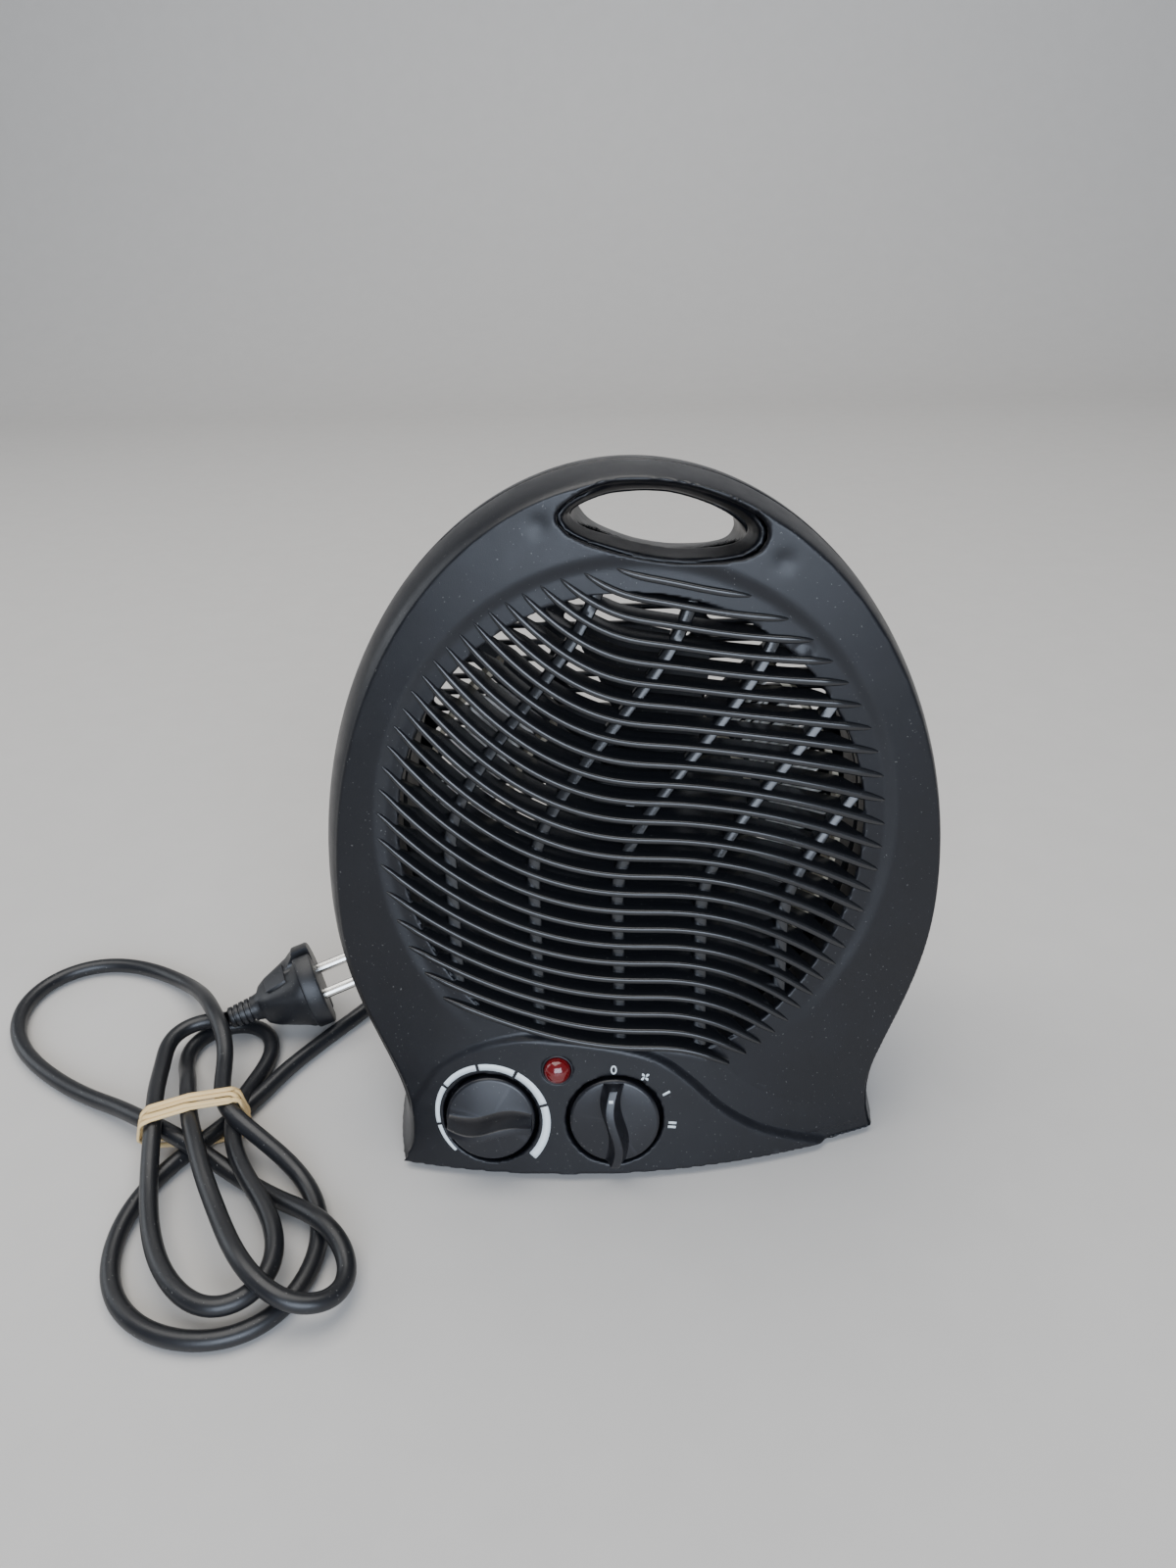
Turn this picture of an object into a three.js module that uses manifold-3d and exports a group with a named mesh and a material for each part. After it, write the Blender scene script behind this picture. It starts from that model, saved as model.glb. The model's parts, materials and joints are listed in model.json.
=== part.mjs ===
// Upright fan heater with two dials, a wave grille and a mains lead.
// Millimetres, +Z up, -Y is the front. The origin lies on the floor under the middle of the body.
import * as THREE from "three";
import { mergeVertices } from "three/addons/utils/BufferGeometryUtils.js";
import Module from "manifold-3d";

const wasm = await Module();
wasm.setup();

// ---- driving dimensions ----
const GAP = 0.3; // clearance between pieces that meet
const WALL = 2.6; // shell thickness
const FLOOR_Z = 3; // underside of the body, above its rubber feet
const HALF_WIDTH = 114; // widest half width of the body
const WIDEST_Z = 102;
const ARCH_RISE = 151; // from the widest height to the top of the arch
const WAIST = [92.2, 20]; // half width and height of the waist
const BASE_HALF = 95.5; // half width where the body meets the floor
const PART_Y = -10; // the parting plane at floor height
const PART_TILT = Math.tan(THREE.MathUtils.degToRad(5));
const BACK_Y = 66.4; // back of the body at floor height
const BACK_TILT = Math.tan(THREE.MathUtils.degToRad(2.5));
const PANEL_TILT = THREE.MathUtils.degToRad(16);
const FACE_TILT = THREE.MathUtils.degToRad(11);
const FACE_Y = -62.2; // the face at floor height
const PANEL_TOP = 60; // height where the panel turns into the face
const PANEL_BLEND = 15;
const GRILLE = { x: 0, z: 130, rx: 89.5, rz: 94, foot: 4.5 }; // the ellipse that the slat tips lie on
const RIM = 4; // width of the grille's outer band
const SLATS = 26;
const SLAT_THICK = 2;
const SLAT_DEEP = 8;
const MOTOR = { y: 12, z: 126, tilt: THREE.MathUtils.degToRad(5), stack: 27 };
const DIAL_RECESS = 18.2;
const DIAL_RADIUS = 16.8;
const THERMOSTAT = [-54, 25];
const SWITCH = [-7.4, 25];
const LAMP = [-28.3, 44.9];
const CORD_RADIUS = 3.4;
const BUSHING = [-40, 20]; // where the lead leaves the back
const INTAKE = { reach: 82, pitch: 7.2, high: 4.2, spacing: 56, wide: 50 }; // slots of the air intake
const SCREWS = [[-33, 233], [55, 214], [-101, 118], [101, 118], [-82, 17], [82, 17]];
const FEET = [[-76, -34], [76, -34], [-76, 46], [76, 46]];

const BLACK = { color: 0x17191d, roughness: 0.5, metalness: 0 };
const RUBBER = { color: 0x111111, roughness: 0.85, metalness: 0 };
const STEEL = { color: 0xa9abad, roughness: 0.35, metalness: 1 };
const BRASS = { color: 0xb59a5a, roughness: 0.4, metalness: 1 };
const LAMINATION = { color: 0x6f7276, roughness: 0.55, metalness: 1 };
const COPPER = { color: 0x9c5a2e, roughness: 0.45, metalness: 0.8 };
const MICA = { color: 0xcbbf9f, roughness: 0.6, metalness: 0 };
const NICHROME = { color: 0x8d8b86, roughness: 0.4, metalness: 1 };
const NYLON = { color: 0xd9d6cc, roughness: 0.6, metalness: 0 };
const RED = { color: 0x8c0d12, roughness: 0.15, metalness: 0 };
const GLASS = { color: 0xe0b8a0, roughness: 0.1, metalness: 0 };
const BAND = { color: 0xd9c193, roughness: 0.7, metalness: 0 };

const heater = new THREE.Group();

// ---- solids ----
function signedVolume(points, triangles) {
  const corner = (i) => new THREE.Vector3().fromArray(points, 3 * triangles[i]);
  let volume = 0;
  for (let i = 0; i < triangles.length; i += 3) volume += corner(i).dot(corner(i + 1).cross(corner(i + 2)));
  return volume;
}

// Closed geometry as a solid; its faces are turned outwards, whichever way its outline ran.
function solidOf(geometry) {
  const bare = geometry.index ? geometry.toNonIndexed() : geometry.clone();
  bare.deleteAttribute("normal");
  bare.deleteAttribute("uv");
  const merged = mergeVertices(bare, 1e-4);
  const points = merged.attributes.position.array;
  const triangles = Uint32Array.from(merged.index.array);
  if (signedVolume(points, triangles) < 0) triangles.reverse();
  return new wasm.Manifold(new wasm.Mesh({ numProp: 3, vertProperties: points, triVerts: triangles }));
}

function geometryOf(solid) {
  const mesh = solid.getMesh();
  const geometry = new THREE.BufferGeometry();
  geometry.setAttribute("position", new THREE.BufferAttribute(Float32Array.from(mesh.vertProperties), 3));
  geometry.setIndex(Array.from(mesh.triVerts));
  return geometry;
}

function add(name, shape, look, parent = heater) {
  const solid = shape.isBufferGeometry ? solidOf(shape) : shape;
  const mesh = new THREE.Mesh(geometryOf(solid), new THREE.MeshStandardMaterial(look));
  mesh.name = name;
  parent.add(mesh);
  return mesh;
}

const unionOf = (solids) => solids.reduce((whole, next) => whole.add(next));

// Closed body through rings of equal length; each end is closed by a fan, or the last ring joins the first.
function loft(rings, closed = false) {
  const count = rings[0].length;
  const points = rings.flat();
  const triangles = [];
  const bands = closed ? rings.length : rings.length - 1;
  for (let r = 0; r < bands; r += 1) {
    const below = r * count;
    const above = ((r + 1) % rings.length) * count;
    for (let i = 0; i < count; i += 1) {
      const j = (i + 1) % count;
      triangles.push([below + i, below + j, above + j], [below + i, above + j, above + i]);
    }
  }
  if (!closed) {
    for (const [ring, flip] of [[0, true], [rings.length - 1, false]]) {
      const middle = points.length;
      const sum = rings[ring].reduce((s, p) => [s[0] + p[0], s[1] + p[1], s[2] + p[2]], [0, 0, 0]);
      points.push(rings[ring].middle ?? sum.map((v) => v / count));
      for (let i = 0; i < count; i += 1) {
        const a = ring * count + i;
        const b = ring * count + ((i + 1) % count);
        triangles.push(flip ? [b, a, middle] : [a, b, middle]);
      }
    }
  }
  const geometry = new THREE.BufferGeometry();
  geometry.setAttribute("position", new THREE.Float32BufferAttribute(points.flat(), 3));
  geometry.setIndex(triangles.flat());
  return solidOf(geometry);
}

function box(x, y, z, dx, dy, dz) {
  return solidOf(new THREE.BoxGeometry(dx, dy, dz).translate(x, y, z));
}

// Cylinder along Y from y0 to y1.
function rod(radius, y0, y1, x = 0, z = 0, sides = 24) {
  const geometry = new THREE.CylinderGeometry(radius, radius, Math.abs(y1 - y0), sides);
  return solidOf(geometry.translate(x, (y0 + y1) / 2, z));
}

function post(radius, z0, z1, x = 0, y = 0, sides = 20) {
  const geometry = new THREE.CylinderGeometry(radius, radius, z1 - z0, sides).rotateX(Math.PI / 2);
  return solidOf(geometry.translate(x, y, (z0 + z1) / 2));
}

// Turned shape about the Y axis; the profile holds [radius, y] pairs and starts and ends on the axis.
function turned(profile, sides = 32) {
  return solidOf(new THREE.LatheGeometry(profile.map(([r, y]) => new THREE.Vector2(r, y)), sides));
}

// Flat outline in X and Z, extruded from y0 to y1.
function prism(shape, y0, y1, steps = 8) {
  const options = { depth: y1 - y0, bevelEnabled: false, curveSegments: steps };
  const geometry = new THREE.ExtrudeGeometry(shape, options);
  return solidOf(geometry.rotateX(Math.PI / 2).translate(0, y1, 0));
}

function circle(radius, sides) {
  const turn = (i) => (2 * Math.PI * i) / sides;
  return new THREE.Shape(Array.from({ length: sides }, (_, i) => (
    new THREE.Vector2(radius * Math.cos(turn(i)), radius * Math.sin(turn(i)))
  )));
}

function tube(points, radius, sides, steps) {
  const curve = new THREE.CatmullRomCurve3(points.map((p) => new THREE.Vector3(...p)), false, "centripetal");
  return new THREE.ExtrudeGeometry(circle(radius, sides), { extrudePath: curve, steps, bevelEnabled: false });
}

// ---- the body's surfaces ----
const partingY = (z) => PART_Y + z * PART_TILT;

function faceY(x, z) {
  const panel = Math.tan(PANEL_TILT);
  const face = Math.tan(FACE_TILT);
  const into = THREE.MathUtils.clamp(z - PANEL_TOP + PANEL_BLEND, 0, 2 * PANEL_BLEND);
  const over = Math.max(0, z - PANEL_TOP - PANEL_BLEND);
  const lean = panel * z + (face - panel) * (into * into / (4 * PANEL_BLEND) + over);
  const height = THREE.MathUtils.clamp(z / 250, 0, 1);
  const bow = (0.0016 - 0.0011 * height) * (x + 25 - 22 * height) ** 2;
  return FACE_Y + lean + bow;
}

const backY = (z) => BACK_Y - z * BACK_TILT;

// Outline of the body at the parting plane, anticlockwise from the right corner, and its outward normals.
function outline() {
  const points = [];
  const arch = 28;
  const side = new THREE.CubicBezierCurve(
    new THREE.Vector2(WAIST[0], WAIST[1]),
    new THREE.Vector2(WAIST[0], WAIST[1] + 20),
    new THREE.Vector2(HALF_WIDTH, WIDEST_Z - 46),
    new THREE.Vector2(HALF_WIDTH, WIDEST_Z),
  );
  const flare = new THREE.QuadraticBezierCurve(
    new THREE.Vector2(BASE_HALF, FLOOR_Z),
    new THREE.Vector2(WAIST[0], FLOOR_Z + 7),
    new THREE.Vector2(WAIST[0], WAIST[1]),
  );
  const right = [...flare.getPoints(2), ...side.getPoints(6).slice(1)];
  points.push(...right);
  for (let i = 1; i < arch; i += 1) {
    const turn = (Math.PI * i) / arch;
    points.push(new THREE.Vector2(HALF_WIDTH * Math.cos(turn), WIDEST_Z + ARCH_RISE * Math.sin(turn)));
  }
  points.push(...right.toReversed().map((p) => new THREE.Vector2(-p.x, p.y)));
  const under = 4;
  for (let i = 1; i < under; i += 1) points.push(new THREE.Vector2(BASE_HALF * (2 * i / under - 1), FLOOR_Z));
  return points.map((p, i) => {
    const before = points[(i + points.length - 1) % points.length];
    const after = points[(i + 1) % points.length];
    const along = after.clone().sub(before).normalize();
    const onFloor = p.y <= FLOOR_Z + 1e-6;
    const corner = Math.abs(p.x) > BASE_HALF - 1 ? Math.sign(p.x) : 0;
    const normal = onFloor ? [corner, 0] : [along.y, -along.x];
    return { x: p.x, z: p.y, normal, onFloor };
  });
}

const OUTLINE = outline();

// Outline drawn in by a distance; the floor line rises only by `lift`.
function drawnIn(distance, lift = 0) {
  return OUTLINE.map(({ x, z, normal, onFloor }) => [
    x - normal[0] * distance,
    onFloor ? z + lift : Math.max(z - normal[1] * distance, FLOOR_Z + lift),
  ]);
}

// How far the face edge stands inside the widest outline: wide at the left, narrow at the right and the top.
function faceInset({ normal }) {
  return 6 - 3 * normal[0] - 3.5 * Math.max(0, normal[1]) ** 2;
}

// The front half's outer form, or with thick > 0 the hollow inside it; it ends past the parting plane.
function frontForm(thick, past) {
  const edge = OUTLINE.map((p) => {
    const inset = faceInset(p) + thick;
    const z = p.onFloor ? p.z : p.z - thick - p.normal[1] * inset;
    return [p.x - p.normal[0] * inset, Math.max(z, FLOOR_Z) + thick];
  });
  const wide = drawnIn(thick, thick);
  const side = [[0, 0, past], [0, 0, 0], [0.12, 0.4, 0], [0.45, 0.75, 0], [1, 1, 0]];
  const rings = side.map(([inward, forward, back]) => wide.map(([x, z], i) => {
    const px = x + (edge[i][0] - x) * inward;
    const pz = z + (edge[i][1] - z) * inward;
    const near = faceY(edge[i][0], edge[i][1]) + thick;
    const far = partingY(pz) + back;
    return [px, far + (near - far) * forward, pz];
  }));
  for (const shrink of [0.78, 0.45]) {
    rings.push(edge.map(([x, z]) => {
      const px = x * shrink;
      const pz = GRILLE.z + (z - GRILLE.z) * shrink;
      return [px, faceY(px, pz) + thick, pz];
    }));
  }
  rings.at(-1).middle = [0, faceY(0, GRILLE.z) + thick, GRILLE.z];
  return loft(past === 0 ? rings.slice(1) : rings);
}

// The rear half's outer form, or the hollow inside it; it starts at the parting plane - past.
function rearForm(thick, past) {
  const side = [[0, 0, -past], [0, 0, 0], [1, 0.45, 0], [4, 0.75, 0], [11, 0.93, 0], [22, 1, 0]];
  const rings = side.map(([inward, back, shift]) => drawnIn(inward + thick, thick).map(([x, z]) => {
    const near = partingY(z) + GAP + shift;
    return [x, near + (backY(z) - thick - near) * back, z];
  }));
  const last = rings.at(-1);
  last.middle = [0, backY(GRILLE.z) - thick, GRILLE.z];
  return loft(past === 0 ? rings.slice(1) : rings);
}

// ---- the handle slot: an eye-shaped funnel through both halves ----
const SLOT_MOUTH = [
  [-22.6, 240.6], [-8, 250.2], [5, 251.3], [21.6, 248.9], [42, 239.7],
  [45.4, 234], [42, 227.6], [16.2, 225], [-8.7, 230.5], [-19.5, 235.6],
];
const SLOT_THROAT = [
  [-18.8, 236.6], [-8.8, 242], [5, 243.5], [17.1, 242.2], [36, 234.6],
  [40.3, 230], [37.4, 225.8], [17.1, 223.9], [-5, 228.6], [-16, 232.7],
];

function eye(corners, grow = 0) {
  const count = 26;
  const knots = corners.map(([x, z]) => new THREE.Vector3(x, 0, z));
  const curve = new THREE.CatmullRomCurve3(knots, true, "centripetal");
  const points = curve.getSpacedPoints(count).slice(0, count);
  const middle = points.reduce((sum, p) => sum.add(p.clone().divideScalar(count)), new THREE.Vector3());
  return points.map((p) => {
    const out = p.clone().sub(middle).normalize();
    return [p.x + out.x * grow, p.z + out.z * grow];
  });
}

function slotBody(mouthGrow, throatGrow, front, back) {
  const mouth = eye(SLOT_MOUTH, mouthGrow);
  const throat = eye(SLOT_THROAT, throatGrow);
  const rings = [];
  if (front) rings.push(mouth.map(([x, z]) => [x, -40, z]), mouth.map(([x, z]) => [x, faceY(x, z) - 0.4, z]));
  rings.push(throat.map(([x, z]) => [x, partingY(z), z]));
  if (back) rings.push(throat.map(([x, z]) => [x, 80, z - 8]));
  return loft(rings);
}

// ---- shells ----
const bossAt = ([x, z], radius, y0, y1) => rod(radius, y0, y1, x, z, 8);

function inPanel([x, z]) {
  const place = new THREE.Matrix4().makeRotationX(-PANEL_TILT);
  place.setPosition(x, faceY(x, z), z);
  return place;
}

const seat = (solid, matrix) => solid.transform(matrix.elements);

function frontShell() {
  const outer = frontForm(0, 0);
  const cavity = frontForm(WALL, 30);
  const inside = [];
  for (const dial of [THERMOSTAT, SWITCH]) {
    inside.push(seat(rod(DIAL_RECESS + 2, -3, 10.2, 0, 0, 20), inPanel(dial)));
  }
  for (const screw of SCREWS) inside.push(bossAt(screw, 4, -70, partingY(screw[1]) - 1));
  inside.push(slotBody(2.2, 2.2, true, false));
  let shell = outer.subtract(cavity).add(unionOf(inside).intersect(outer));
  const opening = loft([-80, 40].map((y) => grilleRing(0, () => y)));
  shell = shell.subtract(opening).subtract(slotBody(0, 0, true, true));
  for (const dial of [THERMOSTAT, SWITCH]) {
    shell = shell.subtract(seat(rod(DIAL_RECESS, -12, 8, 0, 0, 24), inPanel(dial)));
    shell = shell.subtract(seat(rod(4.9, -12, 14, 0, 0, 14), inPanel(dial)));
  }
  shell = shell.subtract(seat(rod(5.4, -10, 10, 0, 0, 16), inPanel(LAMP)));
  for (const screw of SCREWS) {
    shell = shell.subtract(bossAt(screw, 2.1, partingY(screw[1]) - 10, 60));
  }
  for (const [x, y] of FEET.slice(0, 2)) shell = shell.subtract(post(2.9, 0, 9, x, y, 12));
  return shell;
}

function rearShell() {
  const outer = rearForm(0, 0);
  const cavity = rearForm(WALL, 30);
  const inside = SCREWS.map((screw) => bossAt(screw, 4.6, partingY(screw[1]), 80));
  inside.push(slotBody(0, 2.2, false, true));
  let shell = outer.subtract(cavity).add(unionOf(inside).intersect(outer));
  shell = shell.subtract(slotBody(0, 0, true, true));
  for (const screw of SCREWS) {
    shell = shell.subtract(bossAt(screw, 2.1, -60, 90));
    shell = shell.subtract(bossAt(screw, 3.7, partingY(screw[1]) + 12, 90));
  }
  shell = shell.subtract(rod(5.3, 50, 80, BUSHING[0], BUSHING[1], 20));
  for (const [x, y] of FEET.slice(2)) shell = shell.subtract(post(2.9, 0, 9, x, y, 12));
  return shell.subtract(intakeSlots());
}

// Horizontal slots of the air intake, in three columns inside a circle.
function intakeSlots() {
  const slots = [];
  const top = INTAKE.reach - 5;
  for (let z = -top; z <= top + 1; z += INTAKE.pitch) {
    const half = Math.sqrt(INTAKE.reach ** 2 - z * z);
    for (const column of [-1, 0, 1]) {
      const middle = column * INTAKE.spacing;
      const left = Math.max(-half, middle - INTAKE.wide / 2);
      const right = Math.min(half, middle + INTAKE.wide / 2);
      const wide = right - left;
      if (wide > 6) slots.push(box((left + right) / 2, 60, GRILLE.z + z, wide, 30, INTAKE.high));
    }
  }
  return unionOf(slots);
}

// ---- front grille ----
// Height of a slat at x; share runs from 0 for the top slat to 1 for the lowest.
function slatZ(x, share) {
  const u = Math.max(0, 10 - x) / 100;
  const w = Math.max(0, x - 10) / 100;
  const crest = 220.5 - 171.3 * share + 3.9 * share ** 2;
  const square = share ** 2;
  const left = (168 - 377 * share + 248.6 * square) * u ** 2 + (143 * share - 149 * square - 8) * u ** 3;
  const right = (69.8 * share - 28.9 - 47.6 * square) * w + (23.8 - 102.7 * share - 32.8 * square) * w ** 2;
  return crest + left + right;
}

// The grille's outline: an ellipse whose foot is cut off below the lowest slat.
function grilleRing(drawn, depth, count = 40) {
  return Array.from({ length: count }, (_, i) => {
    const turn = (2 * Math.PI * i) / count;
    const x = GRILLE.x + (GRILLE.rx + GAP - drawn) * Math.cos(turn);
    const z = GRILLE.z + (GRILLE.rz + GAP - drawn) * Math.sin(turn);
    const foot = slatZ(x, 1) - GRILLE.foot + drawn;
    return [x, depth(x, Math.max(z, foot)), Math.max(z, foot)];
  });
}

function slatEnd(share, step) {
  let x = 10;
  const beyond = (at) => (at / GRILLE.rx) ** 2 + ((slatZ(at, share) - GRILLE.z) / GRILLE.rz) ** 2 > 0.99;
  while (!beyond(x + step)) x += step;
  return x;
}

function slat(index) {
  const share = index / (SLATS - 1);
  const left = slatEnd(share, -0.5);
  const right = slatEnd(share, 0.5);
  const sections = Math.round(2 + (right - left) / 42);
  const rings = [];
  for (let i = 0; i <= sections; i += 1) {
    const along = (1 - Math.cos((Math.PI * i) / sections)) / 2;
    const x = left + (right - left) * along;
    const z = slatZ(x, share);
    const taper = Math.min(1, 0.25 + 8 * Math.min(along, 1 - along));
    const slope = (slatZ(x + 0.5, share) - slatZ(x - 0.5, share));
    const size = Math.hypot(1, slope);
    const half = (SLAT_THICK / 2) * taper;
    const dx = (-slope / size) * half;
    const dz = half / size;
    const front = faceY(x, z) + 0.2;
    const back = front + 1.5 + (SLAT_DEEP - 1.5) * taper;
    rings.push([
      [x + dx, front, z + dz], [x + dx, back, z + dz], [x - dx, back, z - dz], [x - dx, front, z - dz],
    ]);
  }
  return loft(rings);
}

// Flat ribs behind the slats: upright below, then leaning to the right in a smooth step.
function rib(index) {
  const foot = -64 + 29.5 * index;
  const bend = 125 - 7.5 * index;
  const ribX = (z) => foot + 57 * THREE.MathUtils.smoothstep(z, bend, bend + 105);
  const inside = (z) => (ribX(z) / GRILLE.rx) ** 2 + ((z - GRILLE.z) / GRILLE.rz) ** 2 < 0.96;
  let low = GRILLE.z;
  let high = GRILLE.z;
  while (inside(low - 1)) low -= 1;
  while (inside(high + 1)) high += 1;
  const rings = [];
  for (let i = 0; i <= 6; i += 1) {
    const z = low + ((high - low) * i) / 6;
    const x = ribX(z);
    const y = faceY(x, z) + SLAT_DEEP - 1.5;
    rings.push([[x - 1.7, y, z], [x - 1.7, y + 3, z], [x + 1.7, y + 3, z], [x + 1.7, y, z]]);
  }
  return loft(rings);
}

function frontGrille() {
  const outer = GAP + 0.1;
  const bandRings = [
    grilleRing(outer, (x, z) => faceY(x, z) + 0.2),
    grilleRing(outer, (x, z) => faceY(x, z) + 13),
    grilleRing(outer + RIM - 1.4, (x, z) => faceY(x, z) + 13),
    grilleRing(outer + RIM, (x, z) => faceY(x, z) + 1.6),
  ];
  const pieces = [loft(bandRings, true)];
  for (let i = 0; i < SLATS; i += 1) pieces.push(slat(i));
  for (let i = 0; i < 5; i += 1) pieces.push(rib(i));
  const limit = loft([-80, 40].map((y) => grilleRing(outer, () => y)));
  return unionOf(pieces).intersect(limit);
}

// ---- dials and their controls, each in the panel's own frame: Y runs into the panel ----
function dialFrame(at) {
  const frame = new THREE.Group();
  frame.applyMatrix4(inPanel(at));
  heater.add(frame);
  return frame;
}

function knob(ridgeTurn) {
  const disc = turned([[0, 4], [DIAL_RADIUS, 4], [DIAL_RADIUS, -0.6], [DIAL_RADIUS - 1.4, -2], [0, -2]], 28);
  const ridge = new THREE.Shape();
  ridge.moveTo(-15.4, 0);
  ridge.quadraticCurveTo(0, -6.4, 15.4, 0);
  ridge.quadraticCurveTo(0, 6.4, -15.4, 0);
  const crown = turned([[0, 0], [16, 0], [16, -5.4], [13, -8], [8, -9.8], [0, -10.4]], 24);
  const grip = prism(ridge, -12, -1, 6).rotate([0, ridgeTurn, 0]).intersect(crown);
  return disc.add(grip).subtract(rod(3.2, 0, 6, 0, 0, 20));
}

function hexNut(across, bore, y0, y1) {
  return rod(across / Math.sqrt(3), y0, y1, 0, 0, 6).subtract(rod(bore, y0 - 1, y1 + 1, 0, 0, 20));
}

function dial(name, at, ridgeTurn, body) {
  const frame = dialFrame(at);
  add(`${name}_knob`, knob(ridgeTurn), BLACK, frame);
  add(`${name}_shaft`, rod(2.9, 0.4, 17, 0, 0, 20), BRASS, frame);
  add(`${name}_nut`, hexNut(13, 4.9, 4.6, 7.7), STEEL, frame);
  const bush = rod(4.5, 4.6, 11, 0, 0, 20);
  add(`${name}_body`, body.add(bush).subtract(rod(3.2, 0, 17.6, 0, 0, 20)), NYLON, frame);
}

function lamp() {
  const frame = dialFrame(LAMP);
  const lens = [[0, 4.5], [5, 4.5], [5, -0.2], [4.7, -1.6], [3.8, -3], [2.3, -4], [0, -4.4]];
  add("lamp_lens", turned(lens, 16), RED, frame);
  add("neon_lamp", turned([[0, 16], [2.6, 16], [2.8, 8], [2, 5.2], [0, 4.9]], 16), GLASS, frame);
}

// ---- fan and motor, in a frame whose -Y is the air's way out ----
const machine = new THREE.Group();
machine.position.set(0, MOTOR.y, MOTOR.z);
machine.rotation.x = -MOTOR.tilt;
heater.add(machine);

function blade(turn) {
  const rings = [];
  for (let i = 0; i <= 4; i += 1) {
    const radius = 14 + 13.5 * i;
    const half = 13 + 4.5 * i;
    const pitch = 0.75 - 0.09 * i;
    const sweep = turn + 0.06 * i;
    const lead = Math.asin(Math.min(0.9, (half * Math.cos(pitch)) / radius / 1.02));
    const corner = (side, lift) => {
      const angle = sweep + side * Math.min(lead, 0.5);
      return [radius * Math.cos(angle), side * half * 0.5 * Math.sin(pitch) + lift, radius * Math.sin(angle)];
    };
    rings.push([corner(-1, -0.9), corner(-1, 0.9), corner(1, 0.9), corner(1, -0.9)]);
  }
  return loft(rings);
}

function impeller() {
  const hub = turned([[0, 8], [17, 8], [17, -6], [14, -8.5], [0, -8.5]], 22);
  const blades = Array.from({ length: 5 }, (_, i) => blade((2 * Math.PI * i) / 5));
  return hub.add(unionOf(blades)).subtract(rod(1.9, -12, 12, 0, 0, 12));
}

function stator() {
  const stack = box(0, MOTOR.stack, -6, 56, 15, 62);
  const window = box(0, MOTOR.stack, -23, 32, 20, 13);
  return stack.subtract(window).subtract(rod(12.6, 10, 50, 0, 0, 20));
}

// The winding sits round the lower limb of the stator, which runs through its middle.
function winding() {
  const outer = box(0, MOTOR.stack, -32.9, 30, 25, 18);
  return outer.subtract(box(0, MOTOR.stack, -33.3, 34, 15.6, 8.2));
}

function motorBracket(side) {
  const y = MOTOR.stack + side * 11.4;
  const plate = box(0, y, 0, 52, 2, 15);
  const cup = rod(8.5, y - 1, y + 1 + side * 2, 0, 0, 18);
  return plate.add(cup).subtract(rod(5.8, y - 8, y + 8, 0, 0, 16));
}

function ring(outer, inner, y0, y1, sides) {
  return rod(outer, y0, y1, 0, 0, sides).subtract(rod(inner, y0 - 1, y1 + 1, 0, 0, sides));
}

function ductRing() {
  const wall = ring(86, 83.6, -11, 14, 36);
  const arms = [];
  for (const turn of [0, 1, 2, 3]) {
    arms.push(box(58.5, 12.2, 0, 52, 3, 9).rotate([0, 45 + 90 * turn, 0]));
  }
  const carrier = box(0, 12.2, 0, 66, 3, 66).subtract(box(0, 12.2, 0, 36, 8, 36));
  return unionOf([wall, carrier, ...arms]);
}

// Arc-shaped insulating boards carry the zigzag wire left and right in front of the fan.
function micaArc(radius, side) {
  const start = side > 0 ? -0.95 : Math.PI - 0.95;
  const arc = new THREE.Shape();
  arc.absarc(0, 0, radius + 1, start, start + 1.9, false);
  arc.absarc(0, 0, radius - 1, start + 1.9, start, true);
  return prism(arc, -24, -12, 9);
}

function zigzag(side) {
  const turns = 15;
  const points = [];
  for (let i = 0; i <= 2 * turns; i += 1) {
    const turn = (side > 0 ? -0.88 : Math.PI - 0.88) + (1.76 * i) / (2 * turns);
    const radius = i % 2 ? 71.5 : 48.5;
    points.push(new THREE.Vector3(radius * Math.cos(turn), -18, radius * Math.sin(turn)));
  }
  return wire(points, 0.7);
}

// Square wire with mitred corners through points that all lie in one plane of constant Y.
function wire(points, half) {
  const rings = points.map((p, i) => {
    const before = points[Math.max(0, i - 1)];
    const after = points[Math.min(points.length - 1, i + 1)];
    const a = p.clone().sub(before).normalize();
    const b = after.clone().sub(p).normalize();
    const along = a.lengthSq() && b.lengthSq() ? a.clone().add(b).normalize() : (a.lengthSq() ? a : b);
    const side = new THREE.Vector3(along.z, 0, -along.x);
    const leg = b.lengthSq() ? b : a;
    const spread = half / Math.max(0.35, Math.abs(new THREE.Vector3(leg.z, 0, -leg.x).dot(side)));
    const out = side.multiplyScalar(spread);
    return [
      [p.x + out.x, p.y - half, p.z + out.z],
      [p.x + out.x, p.y + half, p.z + out.z],
      [p.x - out.x, p.y + half, p.z - out.z],
      [p.x - out.x, p.y - half, p.z - out.z],
    ];
  });
  return loft(rings);
}

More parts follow.
